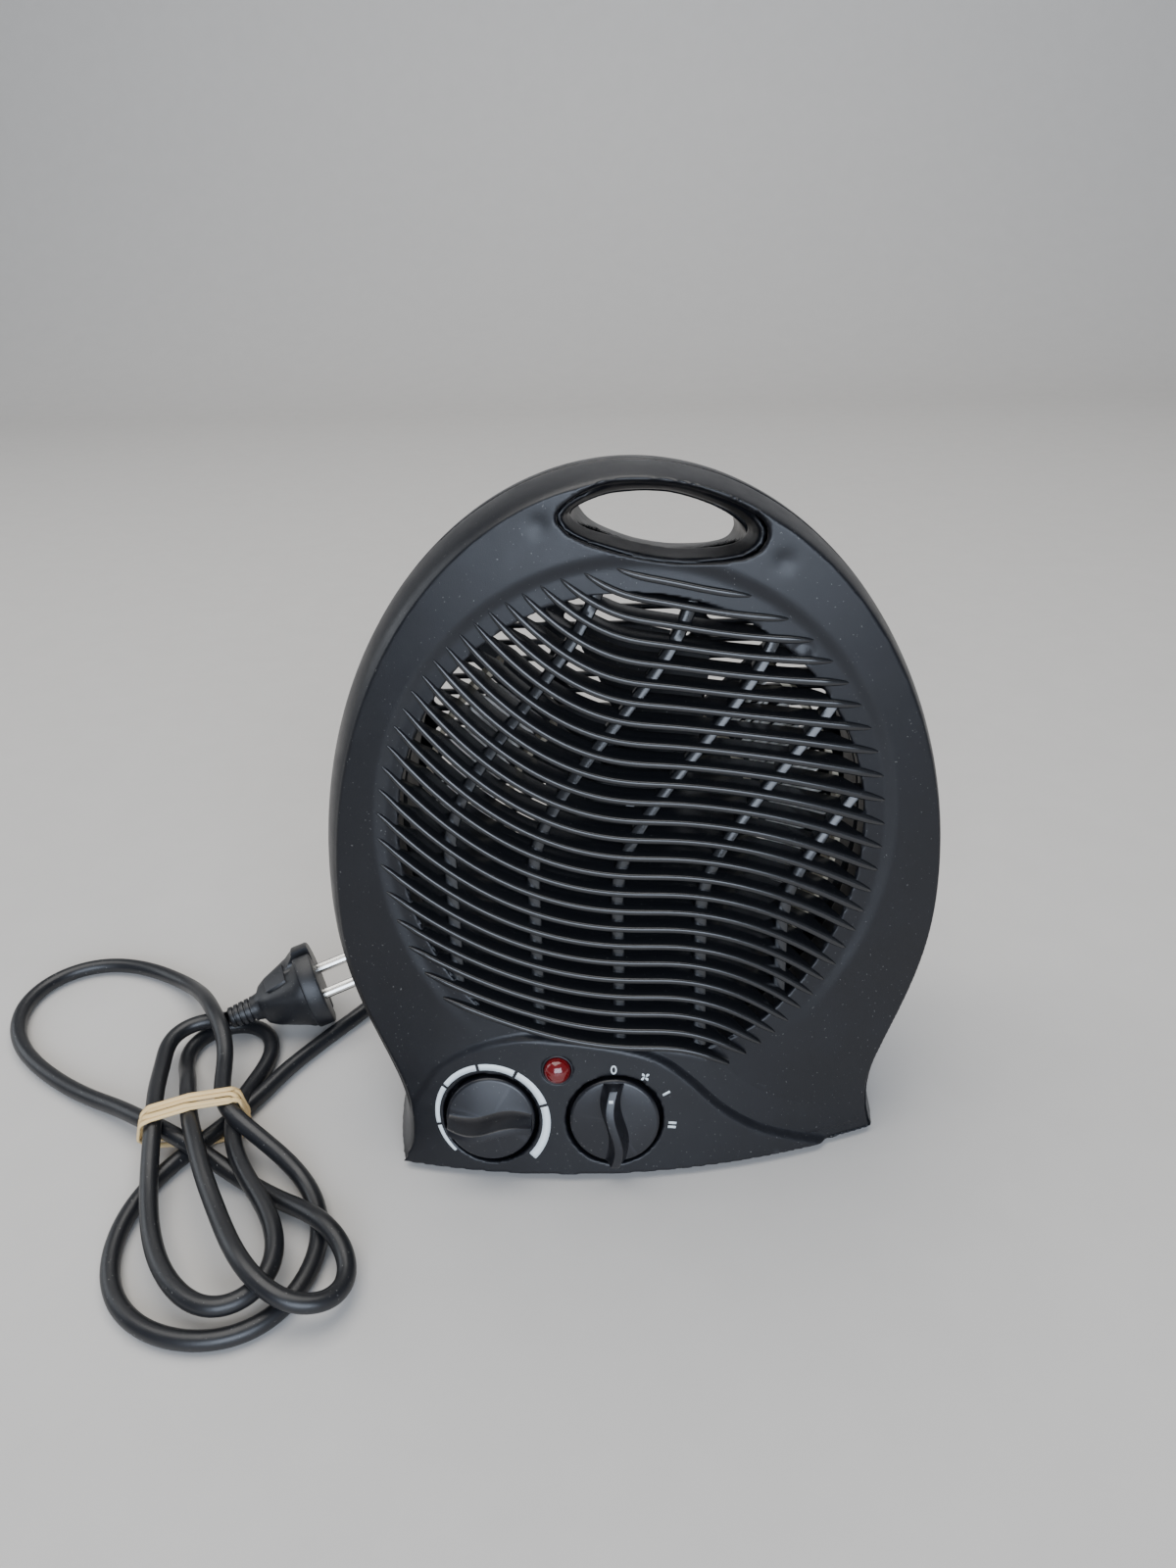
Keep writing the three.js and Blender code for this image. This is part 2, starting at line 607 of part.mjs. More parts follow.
function machineParts() {
  add("fan_impeller", impeller(), BLACK, machine);
  add("motor_shaft", rod(1.6, -8, 43, 0, 0, 10), STEEL, machine);
  add("motor_rotor", rod(12, 20, 34, 0, 0, 20).subtract(rod(1.9, 10, 50, 0, 0, 10)), LAMINATION, machine);
  add("motor_stator", stator(), LAMINATION, machine);
  add("motor_winding", winding(), COPPER, machine);
  add("motor_bracket_front", motorBracket(-1), STEEL, machine);
  add("motor_bracket_rear", motorBracket(1), STEEL, machine);
  add("bearing_front", ring(5.5, 1.9, 13.4, 18, 14), BRASS, machine);
  add("bearing_rear", ring(5.5, 1.9, 36, 40.6, 14), BRASS, machine);
  add("duct_ring", ductRing(), BLACK, machine);
  for (const [side, name] of [[-1, "left"], [1, "right"]]) {
    add(`mica_outer_${name}`, micaArc(75, side), MICA, machine);
    add(`mica_inner_${name}`, micaArc(45, side), MICA, machine);
    add(`heating_wire_${name}`, zigzag(side), NICHROME, machine);
  }
  add("thermal_cutout", rod(8, -22, -16, 0, -45, 18), STEEL, machine);
  add("thermal_fuse", rod(2.2, -24, -12, 22, -52, 10), NYLON, machine);
}

// ---- feet, screws, lead ----
function foot([x, y], index) {
  const pad = post(7, 0, FLOOR_Z - GAP, x, y, 18);
  add(`rubber_foot_${index + 1}`, pad.add(post(2.5, 1, 7, x, y, 10)), RUBBER);
}

function caseScrew([x, z], index) {
  const seatY = partingY(z) + 12.3;
  const screw = turned([[0, 0.4], [3.3, 0.4], [3.3, 2.2], [2, 3], [0, 3]], 12);
  const shank = rod(1.6, -20.5, 1, 0, 0, 8);
  add(`case_screw_${index + 1}`, screw.add(shank), STEEL).position.set(x, seatY - 0.1, z);
}

function bushing() {
  const y = BACK_Y;
  const inside = -WALL - 1.2;
  const profile = [
    [0, -9], [7, -9], [7, inside], [4.9, inside], [4.9, 0.4], [7.4, 0.4], [7.2, 3], [4.6, 26], [0, 26],
  ];
  const solid = turned(profile, 16).subtract(rod(CORD_RADIUS + GAP, -12, 18, 0, 0, 10));
  add("cord_bushing", solid, RUBBER).position.set(BUSHING[0], y, BUSHING[1]);
}

// Route of the lead, by hand: round behind the base, through the band and the loops, to the plug.
const LEAD = [
  [-40, 93.2, 20], [-40.2, 101, 18], [-46, 112, 11], [-58, 120, 6], [-76, 122, 3.6], [-93, 113, 3.6],
  [-102, 94, 3.6], [-106, 72, 3.6], [-111, 52, 3.6], [-121, 34, 3.6], [-136, 14, 3.6], [-147, -3, 3.6],
  [-150, -8.5, 3.6],
];
const BIG_LOOP = [
  [-171.6, -8.6, 13], [-175, 2, 17.5], [-184, 15, 19.8], [-196, 34, 13], [-213, 52, 4.6], [-236, 65, 4],
  [-261, 68, 3.8], [-279, 56, 3.8], [-285, 36, 3.8], [-276, 13, 3.8], [-256, -5, 3.8], [-233, -19, 3.8],
  [-217, -27, 6], [-208.6, -31.6, 7.6],
];
const FOLD = [
  [-190, -8.6, 4.5], [-195.5, 4, 3.6], [-192, 17, 3.6], [-176.5, 25, 3.6], [-161, 18, 3.6], [-157, 4, 3.6],
  [-159, -8.6, 3.6],
];
const TAIL = [[-199, -8.6, 10.6], [-202, 3, 10.8], [-198.5, 13, 10.8], [-190, 17.6, 11], [-179.8, 17, 12.3]];
const BUNDLE = [
  [-204, -10.6], [-206, -34], [-201, -41], [-196, -56.3], [-195, -70], [-194, -92], [-188, -116], [-170, -132],
  [-144, -137], [-116, -133], [-97, -123], [-92, -104], [-104, -76], [-122, -56], [-155, -43], [-160, -27.7],
  [-148, -20], [-146, -10.6],
];
const BUNDLE_HIGH = 20;
const TIE = { x: -178, y: -42, turn: 18, width: 8, across: 42, thick: 1.5 };

// Box across the bundle at the tie; grow widens its section on every side.
function tieBox(grow, long) {
  const section = box(0, 0, BUNDLE_HIGH / 2 + 0.2, TIE.across + 2 * grow, long, BUNDLE_HIGH + 2 * grow);
  return section.rotate([0, 0, TIE.turn]).translate([TIE.x, TIE.y, 0]);
}

function cordBundle() {
  const shape = new THREE.Shape(BUNDLE.map(([x, y]) => new THREE.Vector2(x, y)));
  const body = new THREE.ExtrudeGeometry(shape, { depth: BUNDLE_HIGH, bevelEnabled: false });
  const depth = TIE.thick + 2 * GAP;
  const groove = tieBox(12, TIE.width + 2 * GAP).subtract(tieBox(-depth, TIE.width + 4));
  return solidOf(body.translate(0, 0, 0.2)).subtract(groove);
}

function cordTie() {
  return tieBox(-GAP, TIE.width).subtract(tieBox(-GAP - TIE.thick, TIE.width + 4));
}

function plugBody() {
  const relief = [[0, 0], [4.4, 0], [5.2, 6], [5.8, 14]];
  const cover = [[9, 17], [12, 25], [17.4, 31.5], [19, 34.5], [19, 41], [18, 42], [0, 42]];
  const turnedBody = turned([...relief, ...cover], 20);
  const notch = box(0, 40, 19, 5, 20, 7).add(box(0, 40, -19, 5, 20, 7));
  let body = turnedBody.subtract(notch);
  for (const side of [-1, 1]) body = body.subtract(rod(2.7, 30, 60, side * 9.5, 0, 12));
  return body;
}

function plug() {
  const frame = new THREE.Group();
  const along = new THREE.Vector3(0.909, 0.374, 0.187).normalize();
  const left = new THREE.Vector3(0, 0, 1).cross(along).normalize();
  const up = along.clone().cross(left);
  frame.matrixAutoUpdate = false;
  frame.matrix.makeBasis(left.clone().negate(), along, up);
  frame.matrix.setPosition(-178.2, 17.2, 12.7);
  heater.add(frame);
  add("plug_body", plugBody(), BLACK, frame);
  for (const [side, number] of [[-1, 1], [1, 2]]) {
    const pin = turned([[0, 31], [2.4, 31], [2.4, 59], [1.6, 61], [0, 61]], 14);
    add(`plug_pin_${number}`, pin, STEEL, frame).position.x = side * 9.5;
  }
}

function lead() {
  add("mains_cord", tube(LEAD, CORD_RADIUS, 8, 20), RUBBER);
  add("cord_loop", tube(BIG_LOOP, CORD_RADIUS, 8, 22), RUBBER);
  add("cord_fold", tube(FOLD, CORD_RADIUS, 8, 10), RUBBER);
  add("cord_tail", tube(TAIL, CORD_RADIUS, 8, 5), RUBBER);
  add("cord_bundle", cordBundle(), RUBBER);
  add("cord_tie", cordTie(), BAND);
}

// ---- wiring inside ----
function wiring() {
  add("terminal_block", box(-52, 30, 12, 26, 14, 11), NYLON);
  add("cord_clamp", box(-40, 50.4, 9, 18, 6, 5), NYLON);
  add("wire_live", tube([[-56, 22.6, 13], [-56, 0, 16], [-55, -24, 20]], 1.1, 8, 4), COPPER);
  add("wire_neutral", tube([[-48, 22.6, 13], [-38, 4, 14], [-18, -14, 18], [-9, -23, 20]], 1.1, 8, 6), COPPER);
}

add("front_shell", frontShell(), BLACK);
add("front_grille", frontGrille(), BLACK);
add("rear_shell", rearShell(), BLACK);
dial("thermostat", THERMOSTAT, 0, box(0, 17.5, 0, 30, 13, 26));
dial("switch", SWITCH, 90, rod(12.6, 11, 26, 0, 0, 20));
lamp();
machineParts();
FEET.forEach(foot);
SCREWS.forEach(caseScrew);
bushing();
lead();
plug();
wiring();

export default heater;
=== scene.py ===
"""Looks of the upright fan heater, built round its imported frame.

Shapes are worked out in millimetres, with Z up and -Y the front, and become metres when their mesh is made.
"""
import json
from math import asin, copysign, cos, pi, radians, sin, sqrt, tan

import bmesh
import bpy
import numpy as np
from mathutils import Matrix, Vector


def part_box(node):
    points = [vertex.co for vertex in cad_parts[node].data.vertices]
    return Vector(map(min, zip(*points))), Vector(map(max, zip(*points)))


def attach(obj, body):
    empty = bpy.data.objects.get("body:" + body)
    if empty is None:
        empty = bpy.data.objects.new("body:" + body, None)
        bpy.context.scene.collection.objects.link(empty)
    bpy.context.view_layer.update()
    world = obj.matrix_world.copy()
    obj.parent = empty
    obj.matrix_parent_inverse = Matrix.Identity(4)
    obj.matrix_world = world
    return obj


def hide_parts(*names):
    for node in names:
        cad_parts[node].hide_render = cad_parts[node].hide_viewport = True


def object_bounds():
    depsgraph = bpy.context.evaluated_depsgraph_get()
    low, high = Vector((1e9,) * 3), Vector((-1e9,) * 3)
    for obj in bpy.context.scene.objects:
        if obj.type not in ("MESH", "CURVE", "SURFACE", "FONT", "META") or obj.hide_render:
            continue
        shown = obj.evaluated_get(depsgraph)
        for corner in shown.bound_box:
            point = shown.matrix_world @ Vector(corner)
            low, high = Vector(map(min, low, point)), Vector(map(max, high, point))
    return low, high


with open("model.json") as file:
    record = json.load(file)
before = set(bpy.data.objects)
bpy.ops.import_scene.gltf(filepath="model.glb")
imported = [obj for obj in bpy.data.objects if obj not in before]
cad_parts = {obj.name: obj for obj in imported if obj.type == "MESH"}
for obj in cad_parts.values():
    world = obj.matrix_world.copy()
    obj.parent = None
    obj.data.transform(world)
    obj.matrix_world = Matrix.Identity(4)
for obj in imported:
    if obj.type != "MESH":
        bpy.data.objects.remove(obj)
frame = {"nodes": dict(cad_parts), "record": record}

CAD_BOX = [list(corner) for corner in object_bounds()]
MM = 0.001
BODY_OF = {node: body for body, nodes in frame["record"]["behaviour"]["bodies"].items() for node in nodes}

# ---- driving dimensions, as in the CAD ----
WALL = 2.6
FLOOR_Z = 3.0  # underside of the case, which stands on four feet
GAP = 0.3  # seam between the two halves
HALF_WIDTH, WIDEST_Z, ARCH_RISE = 114.0, 102.0, 151.0
WAIST = (92.2, 20.0)
BASE_HALF = 95.5
PART_Y, PART_TILT = -10.0, tan(radians(5))
BACK_Y, BACK_TILT = 66.4, tan(radians(2.5))
PANEL_LEAN, FACE_LEAN = radians(16), radians(11)
FACE_Y, PANEL_TOP, PANEL_BLEND = -62.2, 60.0, 15.0
GRILLE_Z, TIPS_X, TIPS_Z = 130.0, 89.5, 94.0
MOUTH = 0.915  # the grille's opening, as a share of the ellipse that the slat tips lie on
SLATS, SLAT_DEEP, RIBS = 26, 8.0, 5
VOXEL = 0.85
THERMOSTAT, SWITCH, LAMP = (-54.0, 25.0), (-7.4, 25.0), (-28.3, 44.9)
RECESS_R, KNOB_R = 18.2, 16.7
SCREWS = [(-33, 233), (55, 214), (-101, 118), (101, 118), (-82, 17), (82, 17)]
BUSHING = (-40.0, 20.0)
BUSHING_HOLE = 5.3
CORD_D, CORD_LENGTH = 6.8, 1490.0
LEFT_END, BACK_END = CAD_BOX[0][0] / MM, CAD_BOX[1][1] / MM
MACHINE = Matrix.Translation((0, 12, 126)) @ Matrix.Rotation(radians(-5), 4, "X")

# ---- camera ----
CAMERA_AT = (-0.06, -350.52, 333.86)
CAMERA_RIGHT = Vector((0.9992, 0.0266, -0.0305))
CAMERA_DOWN = Vector((-0.0137, -0.4871, -0.8732))
CAMERA_LENS = 25.09


def shown(name, data):
    """A new object in the scene that shows the data."""
    obj = bpy.data.objects.new(name, data)
    bpy.context.scene.collection.objects.link(obj)
    return obj


def camera():
    data = bpy.data.cameras.new("camera")
    data.lens, data.sensor_width, data.sensor_fit = CAMERA_LENS, 36.0, "AUTO"
    data.clip_start = 0.01
    obj = shown("camera", data)
    up = -CAMERA_DOWN.normalized()
    right = CAMERA_RIGHT.normalized()
    back = right.cross(up)
    turn = Matrix((right, up, back)).transposed().to_4x4()
    obj.matrix_world = Matrix.Translation(Vector(CAMERA_AT) * MM) @ turn
    bpy.context.scene.camera = obj


# ---- materials ----
MIX_A, MIX_B, MIX_RESULT = 6, 7, 2  # the colour sockets of a Mix node


def feed(tree, node, inputs):
    """Gives each input its number or colour, or links it to another node's output."""
    for socket, value in inputs.items():
        if isinstance(value, bpy.types.NodeSocket):
            tree.links.new(value, node.inputs[socket])
        else:
            node.inputs[socket].default_value = value


def add_node(tree, kind, inputs, **settings):
    node = tree.nodes.new(f"ShaderNode{kind}")
    for key, value in settings.items():
        setattr(node, key, value)
    feed(tree, node, inputs)
    return node


def noise(tree, coords, scale, detail=3.0, roughness=0.6):
    inputs = {"Scale": scale, "Detail": detail, "Roughness": roughness, "Vector": coords}
    return add_node(tree, "TexNoise", inputs).outputs["Fac"]


def remap(tree, value, low, high, to_low, to_high):
    inputs = {"From Min": low, "From Max": high, "To Min": to_low, "To Max": to_high, "Value": value}
    return add_node(tree, "MapRange", inputs, clamp=True).outputs["Result"]


def mix_colour(tree, share, a, b):
    a, b = ((*c, 1.0) if isinstance(c, tuple) else c for c in (a, b))
    return add_node(tree, "Mix", {0: share, MIX_A: a, MIX_B: b}, data_type="RGBA").outputs[MIX_RESULT]


def combine(tree, kind, a, b):
    return add_node(tree, "Math", {0: a, 1: b}, operation=kind).outputs[0]


def coordinates(tree, stretch=(1, 1, 1)):
    coords = tree.nodes.new("ShaderNodeTexCoord").outputs["Object"]
    if stretch == (1, 1, 1):
        return coords
    return add_node(tree, "Mapping", {"Scale": stretch, "Vector": coords}).outputs["Vector"]


def scratches(tree, coords, scale, thin):
    """Sparse hairlines along a noise's middle value, broken up by a coarser noise."""
    fine = noise(tree, coords, scale, 1.0, 0.4)
    line = combine(tree, "ABSOLUTE", combine(tree, "SUBTRACT", fine, 0.5), 0.0)
    hair = remap(tree, line, 0.0, thin, 1.0, 0.0)
    patches = remap(tree, noise(tree, coords, scale * 1.7, 2.0), 0.62, 0.7, 0.0, 1.0)
    return combine(tree, "MULTIPLY", hair, patches)


DUST_COLOUR = (0.42, 0.41, 0.39)
MATERIALS = {}


def surface(name, colour, rough, metal=0.0, grain=(2500.0, 0.02), mottle=0.25, wear=0.0, marks=0.0,
            stretch=(1, 1, 1), specular=0.5, coat=0.0, dust=0.0):
    """A surface with mottled colour, uneven gloss, fine grain, worn edges, hairlines and specks of dust."""
    mat = bpy.data.materials.new(name)
    mat.use_nodes = True
    tree = mat.node_tree
    shader = tree.nodes["Principled BSDF"]
    coords = coordinates(tree, stretch)
    broad = noise(tree, coords, 35.0, 4.0)
    low = tuple(c * (1 - mottle) for c in colour)
    high = tuple(min(1.0, c * (1 + mottle)) for c in colour)
    base = mix_colour(tree, broad, low, high)
    roughness = remap(tree, noise(tree, coords, 90.0, 5.0), 0.3, 0.7, rough - 0.05, rough + 0.06)
    if wear:
        point = tree.nodes.new("ShaderNodeNewGeometry").outputs["Pointiness"]
        sharp = remap(tree, point, 0.52, 0.6, 0.0, wear)
        edge = combine(tree, "MULTIPLY", sharp, noise(tree, coords, 300.0))
        base = mix_colour(tree, edge, base, tuple(min(1.0, c * 4 + 0.05) for c in colour))
    if marks:
        hairs = scratches(tree, coordinates(tree, (1.0, 1.0, 0.2)), 38.0, 0.002)
        lines = combine(tree, "MULTIPLY", hairs, marks)
        base = mix_colour(tree, lines, base, tuple(min(1.0, c * 3 + 0.12) for c in colour))
    if dust:
        specks = remap(tree, noise(tree, coords, 1500.0, 1.0, 0.3), 0.76, 0.79, 0.0, dust)
        base = mix_colour(tree, specks, base, DUST_COLOUR)
        roughness = combine(tree, "ADD", roughness, combine(tree, "MULTIPLY", specks, 0.3))
    height = noise(tree, coords, grain[0], 3.0)
    bump = add_node(tree, "Bump", {"Strength": 1.0, "Distance": grain[1] * MM, "Height": height})
    feed(tree, shader, {"Metallic": metal, "Specular IOR Level": specular, "Coat Weight": coat,
                        "Coat Roughness": 0.15, "Base Color": base, "Roughness": roughness,
                        "Normal": bump.outputs["Normal"]})
    MATERIALS[name] = mat
    return shader


surface("case_black", (0.0046, 0.005, 0.0072), 0.36, grain=(2600.0, 0.03), wear=0.12, marks=0.35, dust=0.25,
        specular=0.4)
surface("grille_black", (0.008, 0.0085, 0.01), 0.21, grain=(1500.0, 0.006), dust=0.1, specular=0.65)
surface("knob_black", (0.0065, 0.007, 0.010), 0.32, grain=(2200.0, 0.02), wear=0.25, dust=0.3)
surface("fan_black", (0.01, 0.01, 0.011), 0.5, grain=(1800.0, 0.03), dust=0.5)
surface("rubber", (0.014, 0.014, 0.014), 0.75, grain=(900.0, 0.05), mottle=0.3)
surface("cord_black", (0.009, 0.0095, 0.0115), 0.36, grain=(900.0, 0.03), dust=0.4, marks=0.3)
surface("plug_black", (0.0095, 0.010, 0.012), 0.42, grain=(1700.0, 0.04), wear=0.3, dust=0.4)
surface("pin_nickel", (0.72, 0.71, 0.68), 0.2, metal=1.0, grain=(900.0, 0.01), mottle=0.1, marks=0.4)
surface("steel", (0.5, 0.51, 0.52), 0.34, metal=1.0, grain=(1200.0, 0.02), mottle=0.15)
surface("brass", (0.56, 0.43, 0.2), 0.32, metal=1.0, grain=(1200.0, 0.02), mottle=0.15)
surface("laminations", (0.22, 0.22, 0.23), 0.5, metal=1.0, grain=(500.0, 0.08), mottle=0.3,
        stretch=(1, 12, 1))
surface("copper", (0.42, 0.16, 0.06), 0.35, metal=0.7, grain=(700.0, 0.1), stretch=(0.2, 6, 1))
surface("mica", (0.55, 0.49, 0.37), 0.55, grain=(700.0, 0.08), mottle=0.35)
surface("nichrome", (0.85, 0.83, 0.79), 0.5, metal=0.15, grain=(2000.0, 0.01), mottle=0.15)
surface("nylon", (0.7, 0.68, 0.6), 0.5, grain=(1300.0, 0.03), mottle=0.12)
surface("band", (0.74, 0.53, 0.25), 0.55, grain=(900.0, 0.05), mottle=0.22)
surface("wire_insulation", (0.3, 0.13, 0.06), 0.45, grain=(900.0, 0.02))
surface("mark_white", (0.72, 0.78, 0.8), 0.5, grain=(1500.0, 0.01), mottle=0.08)
surface("floor_pale", (0.52, 0.5, 0.475), 0.55, grain=(400.0, 0.02), mottle=0.04)
lens = surface("lamp_red", (0.17, 0.0015, 0.004), 0.12, grain=(500.0, 0.02), mottle=0.5, coat=0.6,
               specular=0.6)
lens.inputs["Transmission Weight"].default_value, lens.inputs["IOR"].default_value = 0.35, 1.49
glass = surface("lamp_glass", (0.85, 0.62, 0.5), 0.08, grain=(300.0, 0.01), mottle=0.1)
glass.inputs["Transmission Weight"].default_value = 0.8


# ---- meshes ----
def mesh_object(name, points, faces):
    mesh = bpy.data.meshes.new(name)
    mesh.from_pydata([tuple(c * MM for c in p) for p in points], [], [tuple(f) for f in faces])
    mesh.validate()
    obj = shown(name, mesh)
    mesh.polygons.foreach_set("use_smooth", [True] * len(mesh.polygons))
    return obj


def finish_piece(obj, material, node=None, body="root"):
    """Gives a piece its material and its body, which is that of the CAD node it stands for, and hides that
    node.
    """
    obj.data.materials.clear()
    obj.data.materials.append(MATERIALS[material])
    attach(obj, BODY_OF[node] if node else body)
    if node:
        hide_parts(node)
    return obj


def applied(obj):
    """Bakes the object's modifiers into its mesh."""
    graph = bpy.context.evaluated_depsgraph_get()
    mesh = bpy.data.meshes.new_from_object(obj.evaluated_get(graph))
    obj.modifiers.clear()
    obj.data = mesh
    return obj


def modified(obj, kind, **settings):
    modifier = obj.modifiers.new(kind, kind)
    for key, value in settings.items():
        setattr(modifier, key, value)
    return applied(obj)


def boolean(obj, other, operation):
    modified(obj, "BOOLEAN", object=other, operation=operation, solver="MANIFOLD")
    bpy.data.objects.remove(other)
    return obj


def soften(obj, width, degrees):
    """Rounds the edges sharper than an angle."""
    return modified(obj, "BEVEL", width=width * MM, segments=2, limit_method="ANGLE",
                    angle_limit=radians(degrees))


def smooth_by_angle(obj, degrees):
    obj.data.polygons.foreach_set("use_smooth", [True] * len(obj.data.polygons))
    obj.data.set_sharp_from_angle(angle=radians(degrees))
    return obj


def joined(name, pieces):
    """One mesh of closed (points, faces) pairs, with its faces turned outwards."""
    points, faces = [], []
    for some, loops in pieces:
        base = len(points)
        points.extend(some)
        faces.extend([tuple(i + base for i in loop) for loop in loops])
    obj = mesh_object(name, points, faces)
    work = bmesh.new()
    work.from_mesh(obj.data)
    bmesh.ops.recalc_face_normals(work, faces=work.faces)
    work.to_mesh(obj.data)
    work.free()
    return obj


def loft(rings, closed=False):
    """(points, faces) through rings of equal length; an open loft is capped by a fan at each end."""
    rings = [np.asarray(r, float) for r in rings]
    count = len(rings[0])
    points = [tuple(p) for ring in rings for p in ring]
    bands = len(rings) if closed else len(rings) - 1
    faces = []
    for r in range(bands):
        low, high = r * count, ((r + 1) % len(rings)) * count
        for i in range(count):
            j = (i + 1) % count
            faces.append((low + i, low + j, high + j, high + i))
    if not closed:
        for r, flip in ((0, True), (len(rings) - 1, False)):
            middle = len(points)
            points.append(tuple(rings[r].mean(0)))
            for i in range(count):
                a, b = r * count + i, r * count + (i + 1) % count
                faces.append((b, a, middle) if flip else (a, b, middle))
    return points, faces


def solid(name, rings, closed=False):
    return joined(name, [loft(rings, closed)])


def ring_points(radius, y, count, x=0.0, z=0.0):
    return [(x + a, y, z + b) for a, b in disc_section(radius, count)]


def turned(profile, count):
    """(points, faces) of a lathe about Y through [radius, y] pairs."""
    return loft([ring_points(max(r, 0.01), y, count) for r, y in profile])


def lathe(name, profile, count):
    return joined(name, [turned(profile, count)])


def rod(name, radius, y0, y1, x=0.0, z=0.0, count=48):
    return solid(name, [ring_points(radius, y0, count, x, z), ring_points(radius, y1, count, x, z)])


def placed(obj, matrix):
    """Moves the mesh itself by a matrix in millimetres."""
    scaled = matrix.copy()
    scaled.translation = matrix.translation * MM
    obj.data.transform(scaled)
    return obj


def catmull(knots, per=8, closed=False):
    """Centripetal Catmull-Rom curve through the knots."""
    pts = [np.asarray(k, float) for k in knots]
    if closed:
        pts = [pts[-1]] + pts + [pts[0], pts[1]]
    else:
        pts = [2 * pts[0] - pts[1]] + pts + [2 * pts[-1] - pts[-2]]
    out = []
    for four in zip(pts, pts[1:], pts[2:], pts[3:]):
        t = [0.0]
        for p, q in zip(four, four[1:]):
            t.append(t[-1] + max(np.linalg.norm(q - p) ** 0.5, 1e-6))
        for i in range(per):
            s = t[1] + (t[2] - t[1]) * i / per
            row = four
            for span in (1, 2):
                row = [between(row[k], row[k + 1], t[k], t[k + span], s) for k in range(len(row) - 1)]
            out.append(between(row[0], row[1], t[1], t[2], s))
    if not closed:
        out.append(pts[-2])
    return np.array(out)


def between(p, q, low, high, at):
    return p * (high - at) / (high - low) + q * (at - low) / (high - low)


def evenly(path, count):
    """Evenly spaced points along a path, without its end."""
    lengths = np.concatenate([[0], np.cumsum(np.linalg.norm(np.diff(path, axis=0), axis=1))])
    at = np.linspace(0, lengths[-1], count, endpoint=False)
    return np.stack([np.interp(at, lengths, column) for column in np.transpose(path)], 1)


def sweep(path, section, closed=False, up=(0, 0, 1)):
    """(points, faces) of a section, a list of [side, up] pairs, swept along a path."""
    path = np.asarray(path, float)
    count = len(path)
    rings = []
    lift = np.asarray(up, float)
    for i, p in enumerate(path):
        before = path[i - 1] if closed or i else path[0]
        after = path[(i + 1) % count] if closed or i < count - 1 else path[-1]
        along = after - before
        along /= np.linalg.norm(along)
        side = np.cross(along, lift)
        side /= np.linalg.norm(side)
        top = np.cross(side, along)
        rings.append([p + side * a + top * b for a, b in section])
    return loft(rings, closed)


def disc_section(radius, count):
    turns = np.linspace(0, 2 * pi, count, endpoint=False)
    return [(radius * cos(t), radius * sin(t)) for t in turns]


def smoothstep(value, low, high):
    share = np.clip((value - low) / (high - low), 0, 1)
    return share * share * (3 - 2 * share)


# ---- the mains lead ----
ROUTE = [  # from the case to the plug, as in the CAD
    (-40, 93.2, 20), (-40.2, 101, 18), (-46, 112, 11), (-58, 120, 6), (-76, 122, 3.6), (-93, 113, 3.6),
    (-102, 94, 3.6), (-106, 72, 3.6), (-111, 52, 3.6), (-121, 34, 3.6), (-136, 14, 3.6), (-147, -3, 3.6),
    (-150, -8.5, 3.6), (-157, -24, 3.6), (-169, -42, 3.6), (-181, -58, 3.6), (-188, -76, 3.6),
    (-188, -96, 3.6), (-180, -115, 3.6), (-164, -127, 3.6), (-145, -131, 3.6), (-127, -127, 3.6),
    (-116, -114, 3.6), (-112, -96, 3.6), (-116, -78, 3.6), (-127, -62, 5), (-144, -51, 11), (-160, -42, 17),
    (-167, -30, 15), (-171.6, -8.6, 13), (-175, 2, 17.5), (-184, 15, 19.8), (-196, 34, 13), (-213, 52, 4.6),
    (-236, 65, 4), (-261, 68, 3.8), (-279, 56, 3.8), (-285, 36, 3.8), (-276, 13, 3.8), (-256, -5, 3.8),
    (-233, -19, 3.8), (-217, -27, 6), (-208.6, -31.6, 7.6), (-194, -41, 10.4), (-176, -50, 10.4),
    (-158, -60, 6), (-140, -70, 3.8), (-126, -78, 6), (-114, -86, 10.4), (-103, -96, 9), (-98, -108, 7),
    (-101, -119, 9), (-113, -124, 13), (-127, -117, 16), (-139, -104, 17), (-148, -90, 15), (-160, -72, 17),
    (-167, -58, 18), (-176, -42, 17.2), (-184, -20, 12), (-190, -8.6, 4.5), (-195.5, 4, 3.6),
    (-192, 17, 3.6), (-176.5, 25, 3.6), (-161, 18, 3.6), (-157, 4, 3.6), (-159, -8.6, 3.6), (-162, -26, 6),
    (-160, -42, 10.4), (-150, -64, 10.4), (-137, -78, 10.4), (-128, -92, 10.4), (-124, -106, 10.4),
    (-129, -119, 10.4), (-141, -124, 10.4), (-154, -118, 10.4), (-167, -104, 10.4), (-176, -86, 10.4),
    (-182, -70, 10.4), (-186, -55, 14), (-189, -42, 17), (-196, -24, 13), (-199, -8.6, 10.6),
    (-202, 3, 10.8), (-198.5, 13, 10.8), (-190, 17.6, 11), (-179.8, 17, 12.3),
]
PLUG_AT = Vector((-178.2, 17.2, 12.7))
PLUG_ALONG = Vector((0.909, 0.374, 0.187)).normalized()
TIE_AT, TIE_TURN = (-178.0, -42.0), radians(18)
EASINGS = 40


def plug_frame():
    left = Vector((0, 0, 1)).cross(PLUG_ALONG).normalized()
    up = PLUG_ALONG.cross(left)
    turn = Matrix((-left, PLUG_ALONG, up)).transposed().to_4x4()
    return Matrix.Translation(PLUG_AT) @ turn


def lead_line():
    """The route as a dense line, with its kinks eased and its two ends left in place."""
    points = catmull(ROUTE, 8)
    for _ in range(EASINGS):
        points[6:-4] += 0.5 * ((points[5:-5] + points[7:-3]) / 2 - points[6:-4])
    return points


